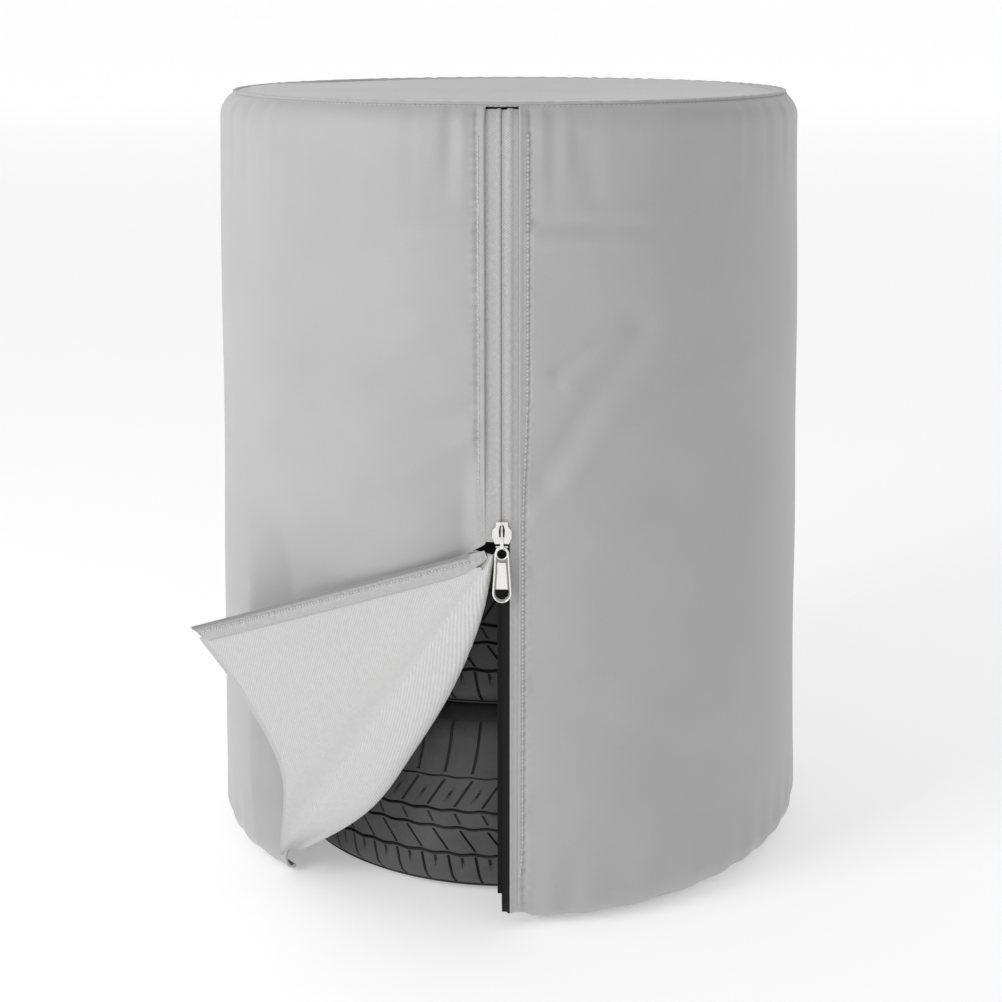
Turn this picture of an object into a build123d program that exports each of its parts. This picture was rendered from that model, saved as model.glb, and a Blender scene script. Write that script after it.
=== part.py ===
from build123d import *
import math
import os

os.makedirs("parts", exist_ok=True)

# A fitted fabric cover over a stack of four tyres that lie flat.  The cover is a slightly flared
# round bag with a zip down its front.  The slider stands half way down, and the cloth to the
# left of the open zip is folded outwards, so that the tread shows behind it.
# Origin: the floor under the middle of the stack.  +Z is up and the zip faces -Y.

# ---- driving dimensions, millimetres and degrees ---------------------------------------------
COVER_HEIGHT = 1030.0
COVER_FOOT_R = 410.0          # outside radius where the wall starts to turn under
COVER_SHOULDER_R = 388.0      # outside radius where the wall starts to turn over the top
CLOTH = 3.0                   # lined cloth
SHOULDER_ROUND = 35.0
FOOT_ROUND = 40.0
FOOT_TURN = 70.0              # how far the wall turns under, to the elasticated hem
SEAM_TURN = 62.0              # how far the wall turns over the top, to the top seam
SEAM_TURN_WIDTH = 6.0         # degrees of the shoulder that the top seam covers
SEAM_PROUD = 3.0
HEM_R = 3.0                   # elastic in its casing
BACK_SEAM_TAPE_W = 24.0
FIT = 0.1                     # hairline left between sewn pieces

TYRE_COUNT = 4
TYRE_R = 318.0                # 255/40 R17
TYRE_PITCH = 256.6            # resting sidewall to resting sidewall
BEAD_R = 215.9
BEAD_Z = 24.0                 # bead's outer face, in from the sidewall's highest ring
BEAD_WIDTH = 20.0
TREAD_GROOVE_W = 9.0
TREAD_GROOVE_DEPTH = 8.0
TREAD_GROOVE_PITCH = 52.0

ZIP_HALF_GAP = 20.0           # from the zip's middle to each folded cloth edge
TAPE_HALF_GAP = 1.2
TAPE_REACH = 32.0             # outer edge of a tape, sewn behind the cloth
TAPE_DEPTH = 3.2              # tape's front face, in from the wall's outer surface
TAPE = 1.2
COIL_REACH = 5.0
COIL = 2.2
ZIP_TOP_Z = 975.0
ZIP_STOP = 6.0
ZIP_BOX_TOP_Z = 60.0
GUARD_LEFT = -6.0             # the guard strip behind the coil of the right-hand tape
GUARD_RIGHT = 30.0
GUARD_DEPTH = 10.0
OPEN_Z = 505.0                # bottom of the slider, where the open cloth parts

SLIDER_HEIGHT = 28.0
SLIDER_HALF_W = 12.0
SLIDER_TOP_HALF_W = 7.0
SLIDER_FOOT_HALF_W = 9.0
SLIDER_CLEAR = 0.45           # between the slider and the tapes
SLIDER_FRONT = 0.8            # front plate's face, out from the wall's outer surface
SLIDER_BACK_T = 1.6
SLIDER_POST_HALF_W = 0.7
SLIDER_EDGE_ROUND = 0.6
SHOULDERS_FROM = 0.3          # shares of the slider's height between which it is broadest
SHOULDERS_TO = 0.55
POST_AT = 0.7
POST_LENGTH = 0.45
STRAP_W = 4.0
STRAP_T = 1.4
STRAP_FIT = 0.05              # hairline to the slider's front face
STRAP_GAP = 0.5               # round the pull tab's pivot
STRAP_LIP = 1.5               # how far the strap's foot turns up behind the pivot
STRAP_NECK_AT = 0.9           # shares of the slider's height
STRAP_BEND_AT = 0.75
PIVOT_DROP = 2.0              # pivot of the pull tab, below the slider's bottom
PIVOT_OUT = 4.0
PIVOT_BAR_R = 1.2

PULL_DROP = 70.0              # from the pivot to the tab's bottom edge
PULL_T = 2.0
PULL_NECK_HALF_W = 8.0
PULL_FOOT_HALF_W = 12.0
PULL_SLOT_HALF_W = 4.5
PULL_SLOT_DROP = 12.0
PULL_TOP = 1.0                # top edge, above the pivot
PULL_ROUND = 5.0
PULL_WINDOW = (14.0, 10.0)    # opening above the tab's foot
PULL_WINDOW_RISE = 11.0       # its middle, above the foot

# the folded cloth: flat strips between straight lines that fan out from the slider
FAN_FOOT_Z = 45.0             # height of the zip's lower end when the flap is shut
HINGE_AZIMUTH = 46.0          # where the fold line meets the hem, round from the zip
STRIP_WIDTHS = (7.3, 13.1, 15.7)
OPEN_BENDS = (154.0, -3.0, -10.0)
SHUT_BENDS = (-4.35, -17.30, -18.70)
STRIP_REACHES = (562.0, 472.0, 447.0, 460.0)
FOLD_CLEAR = 2.5              # from each fold line to the strip beside it
HEM_TAPE_W = 6.0
ROOT_AZIMUTH = 54.0           # where the wall ends beside the fold
ROOT_Z = 42.0
NOSE_FRONT = (-214.0, -318.0, 40.0)
NOSE_BACK = (-214.0, -298.0, 40.0)
FACET_DEPTH = 10.0            # pulled-in cloth, behind the plane through the slider and the root
FOLD_HINGE_CLEAR = 12.0       # from the fold line to the fixed front layer of the fold
SHELF_RISE = 12.0             # top of the pulled-in cloth, above the slider's bottom
SHELF_FALL = 105.0            # and how much lower that edge is at the far end
FOLD_START = 150.0            # the fold's flat layers start this far from the slider
NOSE_LENGTH = 200.0
FOLD_ROOT_CLEAR = 3.0
PANEL_START_EXTRA = 15.0      # past where a strip is wide enough for its two clearances
FLAP_ZIP_START = 85.0
FLAP_ZIP_GAP = 1.4            # between the flap's zip tape and the cloth beside it

# cutting blocks reach this far past what they cut
PAST = 50.0
WALL_REACH = 100.0            # in front of and behind the front wall

FOOT_Z = FOOT_ROUND + 6.0
SHOULDER_Z = COVER_HEIGHT - SHOULDER_ROUND


def wall_radius(z):
    """Outside radius of the straight part of the wall."""
    share = (z - FOOT_Z) / (SHOULDER_Z - FOOT_Z)
    return COVER_FOOT_R + (COVER_SHOULDER_R - COVER_FOOT_R) * share


def wall_point(azimuth, z):
    """Point on the wall's outer surface; the azimuth runs from the zip towards -X."""
    angle = math.radians(azimuth)
    radius = wall_radius(z)
    return Vector(-radius * math.sin(angle), -radius * math.cos(angle), z)


def wall_band(outside, inside, foot_turn=FOOT_TURN, seam_turn=SEAM_TURN):
    """Section of a layer of the wall, between two depths measured in from its outer surface."""
    foot = (COVER_FOOT_R - FOOT_ROUND, FOOT_Z)
    shoulder = (COVER_SHOULDER_R - SHOULDER_ROUND, SHOULDER_Z)
    with BuildSketch(Plane.XZ) as band:
        with BuildLine():
            low_out = CenterArc(foot, FOOT_ROUND - outside, -foot_turn, foot_turn)
            top_out = CenterArc(shoulder, SHOULDER_ROUND - outside, 0, seam_turn)
            low_in = CenterArc(foot, FOOT_ROUND - inside, -foot_turn, foot_turn)
            top_in = CenterArc(shoulder, SHOULDER_ROUND - inside, 0, seam_turn)
            Line(low_out @ 1, top_out @ 0)
            Line(top_out @ 1, top_in @ 1)
            Line(top_in @ 0, low_in @ 1)
            Line(low_in @ 0, low_out @ 0)
        make_face()
    return band.sketch


def front_box(x_low, x_high, z_low, z_high):
    """Block that reaches through the front wall, to keep or cut the span it covers."""
    with BuildPart() as block:
        with Locations(((x_low + x_high) / 2, -COVER_FOOT_R, (z_low + z_high) / 2)):
            Box(x_high - x_low, 2 * WALL_REACH, z_high - z_low)
    return block.part


def front_prism(outline):
    """Block with the given outline in the front view, reaching through the front wall."""
    with BuildPart() as block:
        with BuildSketch(Plane.XZ):
            with BuildLine():
                Polyline(*outline, close=True)
            make_face()
        extrude(amount=COVER_FOOT_R + PAST)
    return block.part


def fan(bends):
    """Rays of the folded cloth from the slider to the hem, and the heading past the last one."""
    ray = (wall_point(HINGE_AZIMUTH, FAN_FOOT_Z) - APEX).normalized()
    angle = math.radians(HINGE_AZIMUTH)
    along_wall = Vector(math.cos(angle), -math.sin(angle), 0)
    heading = (along_wall - ray * along_wall.dot(ray)).normalized()
    rays = [ray]
    for width, bend in zip(STRIP_WIDTHS, bends):
        heading = heading.rotate(Axis((0, 0, 0), ray), bend)
        spread = math.radians(width)
        next_ray = ray * math.cos(spread) + heading * math.sin(spread)
        heading = heading * math.cos(spread) - ray * math.sin(spread)
        ray = next_ray
        rays.append(ray)
    return rays, heading


def fan_plate(first, second, inner, outer, first_clear, second_clear):
    """Flat plate of cloth between two rays from the slider, from the inner to the outer reaches."""
    width = math.radians(first.get_angle(second))
    along = (math.cos(width), math.sin(width))
    side = (math.sin(width) * second_clear, -math.cos(width) * second_clear)
    plane = Plane(origin=APEX, x_dir=first, z_dir=first.cross(second))
    with BuildPart() as plate:
        with BuildSketch(plane):
            with BuildLine():
                Polyline(
                    (inner[0], first_clear),
                    (outer[0], first_clear),
                    (along[0] * outer[1] + side[0], along[1] * outer[1] + side[1]),
                    (along[0] * inner[1] + side[0], along[1] * inner[1] + side[1]),
                    close=True,
                )
            make_face()
        extrude(amount=CLOTH / 2, both=True)
    return plate.part


def finish(part, name):
    """Name one finished piece and write it."""
    part.label = name
    export_step(part, f"parts/{name}.step")


APEX = wall_point(0.0, OPEN_Z)
BIG = 2.0 * COVER_HEIGHT

# ---- tyres ---------------------------------------------------------------------------------
TREAD_HALF_W = 92.0
REST_RING_R = (262.0, 284.0)  # flat ring on the sidewall that the next tyre rests on
SHOULDER_BULGE = (307.0, 12.5)  # radius, and height from the resting ring
SIDEWALL_BULGE = (236.0, 7.0)
BEAD_HEEL_R = 232.0
BEAD_HEEL_DROP = 4.0
INSIDE_BULGE = (243.0, 22.0)
WALL_T = 14.0
INSIDE_TURN_R = 280.0         # where the inside starts to turn up to the liner
INSIDE_TURN_MID = (297.0, 24.0)
LINER_R = 303.0
LINER_Z = 48.0


def tyre_half(half, side):
    """Half of a tyre's U-shaped section; side is -1 below the tread's middle and +1 above it."""

    def at(radius, from_ring):
        return (radius, half + side * (half - from_ring))

    shoulder_z = half - TREAD_HALF_W
    bead_toe_z = BEAD_Z + BEAD_WIDTH
    bead_heel = at(BEAD_HEEL_R, bead_toe_z - BEAD_HEEL_DROP)
    with BuildSketch(Plane.XZ) as section:
        with BuildLine():
            Line((TYRE_R, half), at(TYRE_R, shoulder_z))
            ThreePointArc(at(TYRE_R, shoulder_z), at(*SHOULDER_BULGE), at(REST_RING_R[1], 0.0))
            Line(at(REST_RING_R[1], 0.0), at(REST_RING_R[0], 0.0))
            ThreePointArc(at(REST_RING_R[0], 0.0), at(*SIDEWALL_BULGE), at(BEAD_R, BEAD_Z))
            Line(at(BEAD_R, BEAD_Z), at(BEAD_R, bead_toe_z))
            Line(at(BEAD_R, bead_toe_z), bead_heel)
            ThreePointArc(bead_heel, at(*INSIDE_BULGE), at(REST_RING_R[0], WALL_T))
            Line(at(REST_RING_R[0], WALL_T), at(INSIDE_TURN_R, WALL_T))
            ThreePointArc(at(INSIDE_TURN_R, WALL_T), at(*INSIDE_TURN_MID), at(LINER_R, LINER_Z))
            Line(at(LINER_R, LINER_Z), (LINER_R, half))
            Line((LINER_R, half), (TYRE_R, half))
        make_face()
    return section.sketch


for number in range(TYRE_COUNT):
    base = number * TYRE_PITCH
    lower = tyre_half(TYRE_PITCH / 2, -1)
    upper = tyre_half(TYRE_PITCH / 2, 1)
    with BuildPart() as tyre:
        revolve([*lower.faces(), *upper.faces()], axis=Axis.Z)
        for step in (-1, 0, 1):
            groove_z = TYRE_PITCH / 2 + step * TREAD_GROOVE_PITCH
            with BuildSketch(Plane.XZ):
                with Locations((TYRE_R, groove_z)):
                    Rectangle(2 * TREAD_GROOVE_DEPTH, TREAD_GROOVE_W)
            revolve(axis=Axis.Z, mode=Mode.SUBTRACT)
    finish(tyre.part.moved(Location((0, 0, base))), f"tyre_{number + 1}")

# ---- walls and top of the cover ---------------------------------------------------------------
zip_slot = front_box(-ZIP_HALF_GAP, ZIP_HALF_GAP, -PAST, COVER_HEIGHT + PAST)
with BuildPart() as back_slit:
    with Locations((0, COVER_FOOT_R, COVER_HEIGHT / 2)):
        Box(2 * FIT, 2 * WALL_REACH, BIG)

with BuildPart() as side_wall_right:
    revolve(wall_band(0, CLOTH), axis=Axis.Z)
    split(bisect_by=Plane.YZ, keep=Keep.TOP)
    add(zip_slot, mode=Mode.SUBTRACT)
    add(back_slit.part, mode=Mode.SUBTRACT)
finish(side_wall_right.part, "side_wall_right")

# Beside the open zip the wall is pulled flat: a vertical facet from the slider to the root of
# the fold, with a narrow shelf above it where the cloth is round again.
root = wall_point(ROOT_AZIMUTH, ROOT_Z)
chord = Vector(root.X - APEX.X, root.Y - APEX.Y, 0).normalized()
facet_out = Vector(0, 0, 1).cross(chord)
chord_length = math.hypot(root.X - APEX.X, root.Y - APEX.Y)
reach_past = 1.4 * chord_length


def facet_block(depth, lift):
    """Wedge outside the facet; depth moves the facet inwards and lift moves its shelf up."""
    # this plane's own y axis points down
    plane = Plane(origin=APEX - facet_out * depth, x_dir=chord, z_dir=facet_out)
    shelf = -(SHELF_RISE + lift)
    far_shelf = shelf + SHELF_FALL * reach_past / chord_length
    with BuildPart() as block:
        with BuildSketch(plane):
            with BuildLine():
                Polyline(
                    (-PAST, shelf),
                    (0.0, shelf),
                    (reach_past, far_shelf),
                    (reach_past, OPEN_Z + PAST),
                    (-PAST, OPEN_Z + PAST),
                    close=True,
                )
            make_face()
        extrude(amount=WALL_REACH)
    return block.part


with BuildPart() as full_cover:
    with BuildSketch(Plane.XZ):
        with BuildLine():
            foot_arc = CenterArc((COVER_FOOT_R - FOOT_ROUND, FOOT_Z), FOOT_ROUND, -FOOT_TURN, FOOT_TURN)
            top_arc = CenterArc((COVER_SHOULDER_R - SHOULDER_ROUND, SHOULDER_Z), SHOULDER_ROUND, 0, 90)
            Line(foot_arc @ 1, top_arc @ 0)
            Line(top_arc @ 1, (0, COVER_HEIGHT))
            Line((0, COVER_HEIGHT), (0, (foot_arc @ 0).Y))
            Line((0, (foot_arc @ 0).Y), foot_arc @ 0)
        make_face()
    revolve(axis=Axis.Z)
with BuildPart() as pulled_cloth:
    add(facet_block(FACET_DEPTH + CLOTH, CLOTH))
    add(facet_block(FACET_DEPTH, 0.0), mode=Mode.SUBTRACT)
    add(full_cover.part, mode=Mode.INTERSECT)

# the open cloth's side of the slot, seen from the front: everything under the root line
root_cut = front_prism([
    (PAST, OPEN_Z),
    (APEX.X, OPEN_Z),
    (root.X, root.Z),
    (root.X, -PAST),
    (PAST, -PAST),
])
with BuildPart() as side_wall_left:
    revolve(wall_band(0, CLOTH), axis=Axis.Z)
    add(facet_block(FACET_DEPTH, 0.0), mode=Mode.SUBTRACT)
    add(pulled_cloth.part)
    split(bisect_by=Plane.YZ, keep=Keep.BOTTOM)
    add(zip_slot, mode=Mode.SUBTRACT)
    add(back_slit.part, mode=Mode.SUBTRACT)
    add(root_cut, mode=Mode.SUBTRACT)
finish(side_wall_left.part, "side_wall_left")

with BuildPart() as back_seam_tape:
    revolve(wall_band(CLOTH + FIT, CLOTH + FIT + TAPE), axis=Axis.Z)
    with Locations((0, COVER_FOOT_R, COVER_HEIGHT / 2)):
        Box(BACK_SEAM_TAPE_W, 2 * WALL_REACH, BIG, mode=Mode.INTERSECT)
finish(back_seam_tape.part, "back_seam_tape")

shoulder_centre = (COVER_SHOULDER_R - SHOULDER_ROUND, SHOULDER_Z)


def shoulder_point(radius, turn):
    """Point on the rounded shoulder at a radius from its centre and a turn over the top."""
    angle = math.radians(turn)
    x = shoulder_centre[0] + radius * math.cos(angle)
    return (x, shoulder_centre[1] + radius * math.sin(angle))


SEAM_FROM = SEAM_TURN + 0.2
SEAM_TO = SEAM_TURN + SEAM_TURN_WIDTH
with BuildPart() as top_seam:
    with BuildSketch(Plane.XZ):
        with BuildLine():
            Polyline(
                shoulder_point(SHOULDER_ROUND - CLOTH, SEAM_FROM),
                shoulder_point(SHOULDER_ROUND + SEAM_PROUD, SEAM_FROM),
                shoulder_point(SHOULDER_ROUND + SEAM_PROUD, SEAM_TO),
                shoulder_point(SHOULDER_ROUND - CLOTH, SEAM_TO),
                close=True,
            )
        make_face()
    revolve(axis=Axis.Z)
finish(top_seam.part, "top_seam")

PANEL_FROM = SEAM_TO + 0.2
with BuildPart() as top_panel:
    with BuildSketch(Plane.XZ):
        with BuildLine():
            over = CenterArc(shoulder_centre, SHOULDER_ROUND, PANEL_FROM, 90.0 - PANEL_FROM)
            under = CenterArc(shoulder_centre, SHOULDER_ROUND - CLOTH, PANEL_FROM, 90.0 - PANEL_FROM)
            Line(over @ 0, under @ 0)
            Line(under @ 1, (0, COVER_HEIGHT - CLOTH))
            Line((0, COVER_HEIGHT - CLOTH), (0, COVER_HEIGHT))
            Line((0, COVER_HEIGHT), over @ 1)
        make_face()
    revolve(axis=Axis.Z)
finish(top_panel.part, "top_panel")

# elastic cord in its casing, along the turned-under edge
hem_angle = math.radians(FOOT_TURN)
hem_arm = FOOT_ROUND - CLOTH / 2
hem_step = CLOTH / 2 + HEM_R
hem_x = COVER_FOOT_R - FOOT_ROUND + hem_arm * math.cos(hem_angle) - hem_step * math.sin(hem_angle)
hem_z = FOOT_Z - hem_arm * math.sin(hem_angle) - hem_step * math.cos(hem_angle)
with BuildPart() as hem_ring:
    with BuildSketch(Plane.XZ):
        with Locations((hem_x, hem_z)):
            Circle(HEM_R)
    revolve(axis=Axis.Z)
with BuildPart() as hem_right:
    add(hem_ring.part)
    split(bisect_by=Plane.YZ, keep=Keep.TOP)
    add(zip_slot, mode=Mode.SUBTRACT)
    add(back_slit.part, mode=Mode.SUBTRACT)
finish(hem_right.part, "hem_elastic_right")
with BuildPart() as hem_left:
    add(hem_ring.part)
    split(bisect_by=Plane.YZ, keep=Keep.BOTTOM)
    add(back_slit.part, mode=Mode.SUBTRACT)
    add(root_cut, mode=Mode.SUBTRACT)
finish(hem_left.part, "hem_elastic_left")

# ---- zip, fixed to the cover --------------------------------------------------------------------
tape_back = TAPE_DEPTH + TAPE
coil_front = tape_back + FIT
coil_back = coil_front + COIL
seam_top = COVER_HEIGHT + PAST
left_foot_z = OPEN_Z + 21.0   # the left tape starts inside the slider
BOX_EXTRA = 4.0               # the box at the zip's foot is this much wider than a coil


def zip_layer(outside, inside, x_low, x_high, z_low, z_high):
    """Length of zip that follows the wall, between two depths and two distances from its middle."""
    with BuildPart() as layer:
        revolve(wall_band(outside, inside), axis=Axis.Z)
        add(front_box(x_low, x_high, z_low, z_high), mode=Mode.INTERSECT)
    return layer.part


finish(zip_layer(TAPE_DEPTH, tape_back, TAPE_HALF_GAP, TAPE_REACH, -PAST, seam_top),
       "zip_tape_right")
finish(zip_layer(TAPE_DEPTH, tape_back, -TAPE_REACH, -TAPE_HALF_GAP, left_foot_z, seam_top),
       "zip_tape_left")
finish(zip_layer(coil_front, coil_back, TAPE_HALF_GAP, COIL_REACH, ZIP_BOX_TOP_Z + 1.0,
                 ZIP_TOP_Z - 1.0), "zip_coil_right")
finish(zip_layer(coil_front, coil_back, -COIL_REACH, -TAPE_HALF_GAP, left_foot_z,
                 ZIP_TOP_Z - 1.0), "zip_coil_left")
finish(zip_layer(coil_front, coil_back, -COIL_REACH, COIL_REACH, ZIP_TOP_Z, ZIP_TOP_Z + ZIP_STOP),
       "zip_stop_top")
finish(zip_layer(coil_front, coil_back, TAPE_HALF_GAP, COIL_REACH + BOX_EXTRA,
                 ZIP_BOX_TOP_Z - 2 * ZIP_STOP, ZIP_BOX_TOP_Z), "zip_box_bottom")

with BuildPart() as zip_guard:
    revolve(wall_band(GUARD_DEPTH, GUARD_DEPTH + TAPE), axis=Axis.Z)
    add(front_box(GUARD_LEFT, GUARD_RIGHT, FOOT_Z, OPEN_Z), mode=Mode.INTERSECT)
    add(zip_layer(tape_back + FIT, GUARD_DEPTH + TAPE, GUARD_RIGHT - TAPE, GUARD_RIGHT,
                  FOOT_Z, OPEN_Z))
finish(zip_guard.part, "zip_guard")

# ---- slider and pull tab ----------------------------------------------------------------------------
lean = math.degrees(math.atan2(COVER_FOOT_R - COVER_SHOULDER_R, SHOULDER_Z - FOOT_Z))
zip_up = Vector(0, math.sin(math.radians(lean)), math.cos(math.radians(lean)))
zip_out = Vector(0, -math.cos(math.radians(lean)), math.sin(math.radians(lean)))
zip_face = Plane(origin=APEX, x_dir=(1, 0, 0), z_dir=zip_out)
front_back = -(TAPE_DEPTH - SLIDER_CLEAR)
back_front = -(coil_back + SLIDER_CLEAR)


def slider_plate(face_from, face_to):
    """Plate with the slider's outline: a narrow neck above broad shoulders."""
    with BuildPart() as plate:
        with BuildSketch(zip_face.offset(face_from)):
            with BuildLine():
                Polyline(
                    (-SLIDER_FOOT_HALF_W, 0.0),
                    (SLIDER_FOOT_HALF_W, 0.0),
                    (SLIDER_HALF_W, SHOULDERS_FROM * SLIDER_HEIGHT),
                    (SLIDER_HALF_W, SHOULDERS_TO * SLIDER_HEIGHT),
                    (SLIDER_TOP_HALF_W, SLIDER_HEIGHT),
                    (-SLIDER_TOP_HALF_W, SLIDER_HEIGHT),
                    (-SLIDER_HALF_W, SHOULDERS_TO * SLIDER_HEIGHT),
                    (-SLIDER_HALF_W, SHOULDERS_FROM * SLIDER_HEIGHT),
                    close=True,
                )
            make_face()
        extrude(amount=face_to - face_from)
    return plate.part


with BuildPart() as slider_body:
    add(slider_plate(front_back, SLIDER_FRONT))
    add(slider_plate(back_front - SLIDER_BACK_T, back_front))
    with BuildSketch(zip_face.offset(back_front - SLIDER_BACK_T / 2)):
        with Locations((0, POST_AT * SLIDER_HEIGHT)):
            Rectangle(2 * SLIDER_POST_HALF_W, POST_LENGTH * SLIDER_HEIGHT)
    extrude(amount=SLIDER_FRONT - back_front)
    outer_edges = slider_body.edges().filter_by(GeomType.LINE).group_by(Axis.Y)[0]
    fillet(outer_edges, SLIDER_EDGE_ROUND)
finish(slider_body.part, "slider_body")

# strap in the plane of the slider's middle: from the neck, out and down, round the pivot, and in;
# this plane's own y axis points down the zip
strap_plane = Plane(origin=APEX, x_dir=zip_out, z_dir=(1, 0, 0))
strap_inner = PIVOT_BAR_R + STRAP_GAP
strap_outer = strap_inner + STRAP_T
strap_root = SLIDER_FRONT + STRAP_FIT
neck_y = -STRAP_NECK_AT * SLIDER_HEIGHT
bend_y = -STRAP_BEND_AT * SLIDER_HEIGHT
with BuildPart() as slider_bridge:
    with BuildSketch(strap_plane.offset(-STRAP_W / 2)):
        with BuildLine():
            Polyline(
                (strap_root, neck_y),
                (PIVOT_OUT + strap_outer, bend_y),
                (PIVOT_OUT + strap_outer, PIVOT_DROP + strap_outer),
                (strap_root, PIVOT_DROP + strap_outer),
                close=True,
            )
        make_face()
        with BuildLine():
            Polyline(
                (strap_root, neck_y + 2 * STRAP_T),
                (PIVOT_OUT + strap_inner, bend_y + STRAP_T),
                (PIVOT_OUT + strap_inner, PIVOT_DROP + strap_inner),
                (strap_root + STRAP_T, PIVOT_DROP + strap_inner),
                (strap_root + STRAP_T, -STRAP_LIP),
                (strap_root, -STRAP_LIP),
                close=True,
            )
        make_face(mode=Mode.SUBTRACT)
    extrude(amount=STRAP_W)
finish(slider_bridge.part, "slider_bridge")

pull_face = zip_face.offset(PIVOT_OUT - PULL_T / 2)
pivot_y = -PIVOT_DROP
with BuildPart() as pull_tab:
    with BuildSketch(pull_face):
        with BuildLine():
            Polyline(
                (-PULL_FOOT_HALF_W, pivot_y - PULL_DROP),
                (PULL_FOOT_HALF_W, pivot_y - PULL_DROP),
                (PULL_NECK_HALF_W, pivot_y + PULL_TOP),
                (-PULL_NECK_HALF_W, pivot_y + PULL_TOP),
                close=True,
            )
        make_face()
        with Locations((0, pivot_y - PULL_SLOT_DROP / 2)):
            Rectangle(2 * PULL_SLOT_HALF_W, PULL_SLOT_DROP, mode=Mode.SUBTRACT)
        with Locations((0, pivot_y - PULL_DROP + PULL_WINDOW_RISE)):
            Rectangle(*PULL_WINDOW, mode=Mode.SUBTRACT)
    extrude(amount=PULL_T)
    upright = pull_tab.edges().filter_by(Axis((0, 0, 0), zip_out))
    fillet(upright.group_by(Axis.Z)[0], PULL_ROUND)
    with BuildSketch(Plane(origin=(-PULL_NECK_HALF_W, 0, 0), x_dir=(0, 1, 0), z_dir=(1, 0, 0))):
        bar_centre = APEX + zip_out * PIVOT_OUT + zip_up * pivot_y
        with Locations((bar_centre.Y, bar_centre.Z)):
            Circle(PIVOT_BAR_R)
    extrude(amount=2 * PULL_NECK_HALF_W)
finish(pull_tab.part, "pull_tab")

# ---- folded cloth -----------------------------------------------------------------------------------
open_rays, open_heading = fan(OPEN_BENDS)
shut_rays, shut_heading = fan(SHUT_BENDS)

# the fold itself keeps its shape: from the root line in behind, round the nose, and out to the hinge
root_ray = (root - APEX).normalized()
nose_back_ray = (Vector(*NOSE_BACK) - APEX).normalized()
nose_front_ray = (Vector(*NOSE_FRONT) - APEX).normalized()
hinge_reach = STRIP_REACHES[0]
root_reach = (root - APEX).length
nose_back_reach = (Vector(*NOSE_BACK) - APEX).length
nose_front_reach = (Vector(*NOSE_FRONT) - APEX).length
finish(fan_plate(root_ray, nose_back_ray, (FOLD_START, FOLD_START),
                 (root_reach, nose_back_reach), FOLD_ROOT_CLEAR, FOLD_CLEAR), "fold_back_layer")
finish(fan_plate(open_rays[0], nose_front_ray, (FOLD_START, FOLD_START),
                 (hinge_reach, nose_front_reach), FOLD_HINGE_CLEAR, FOLD_CLEAR), "fold_front_layer")
finish(fan_plate(nose_front_ray, nose_back_ray,
                 (nose_front_reach - NOSE_LENGTH, nose_back_reach - NOSE_LENGTH),
                 (nose_front_reach, nose_back_reach), FOLD_CLEAR, FOLD_CLEAR), "fold_nose")

last = len(STRIP_WIDTHS) - 1
for index, width in enumerate(STRIP_WIDTHS):
    far_clear = ZIP_HALF_GAP if index == last else FOLD_CLEAR
    start = (FOLD_CLEAR + far_clear) / math.sin(math.radians(width)) + PANEL_START_EXTRA
    pair = (open_rays[index], open_rays[index + 1])
    ends = (STRIP_REACHES[index], STRIP_REACHES[index + 1])
    tape_from = (ends[0] - HEM_TAPE_W, ends[1] - HEM_TAPE_W)
    panel_to = (tape_from[0] - FIT, tape_from[1] - FIT)
    finish(fan_plate(*pair, (start, start), panel_to, FOLD_CLEAR, far_clear),
           f"flap_panel_{index + 1}")
    finish(fan_plate(*pair, tape_from, ends, FOLD_CLEAR, far_clear), f"flap_hem_tape_{index + 1}")

# the flap's half of the zip lies level with the other half when the flap is shut
shut_normal = shut_rays[-1].cross(shut_heading)
open_normal = open_rays[-1].cross(open_heading)
across_x = shut_heading.X
across_n = shut_normal.X
flap_across = open_heading * across_x + open_normal * across_n
flap_outward = flap_across.cross(open_rays[-1] * -1.0)
flap_zip = Plane(origin=APEX, x_dir=flap_across, z_dir=flap_outward)


def flap_strip(x_low, x_high, depth_from, depth_to, start, end):
    """Straight strip along the flap's zip edge, in the plane that the zip has when shut."""
    with BuildPart() as strip:
        with BuildSketch(flap_zip.offset(-depth_to)):
            with Locations(((x_low + x_high) / 2, -(start + end) / 2)):
                Rectangle(x_high - x_low, end - start)
        extrude(amount=depth_to - depth_from)
    return strip.part


flap_zip_end = STRIP_REACHES[-1]
finish(flap_strip(-ZIP_HALF_GAP + FLAP_ZIP_GAP, -TAPE_HALF_GAP, TAPE_DEPTH, tape_back,
                  FLAP_ZIP_START, flap_zip_end), "flap_zip_tape")
finish(flap_strip(-COIL_REACH, -TAPE_HALF_GAP, coil_front, coil_back,
                  FLAP_ZIP_START, flap_zip_end), "flap_zip_coil")
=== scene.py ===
import math

import bpy
import numpy as np
from mathutils import Matrix, Vector


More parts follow.
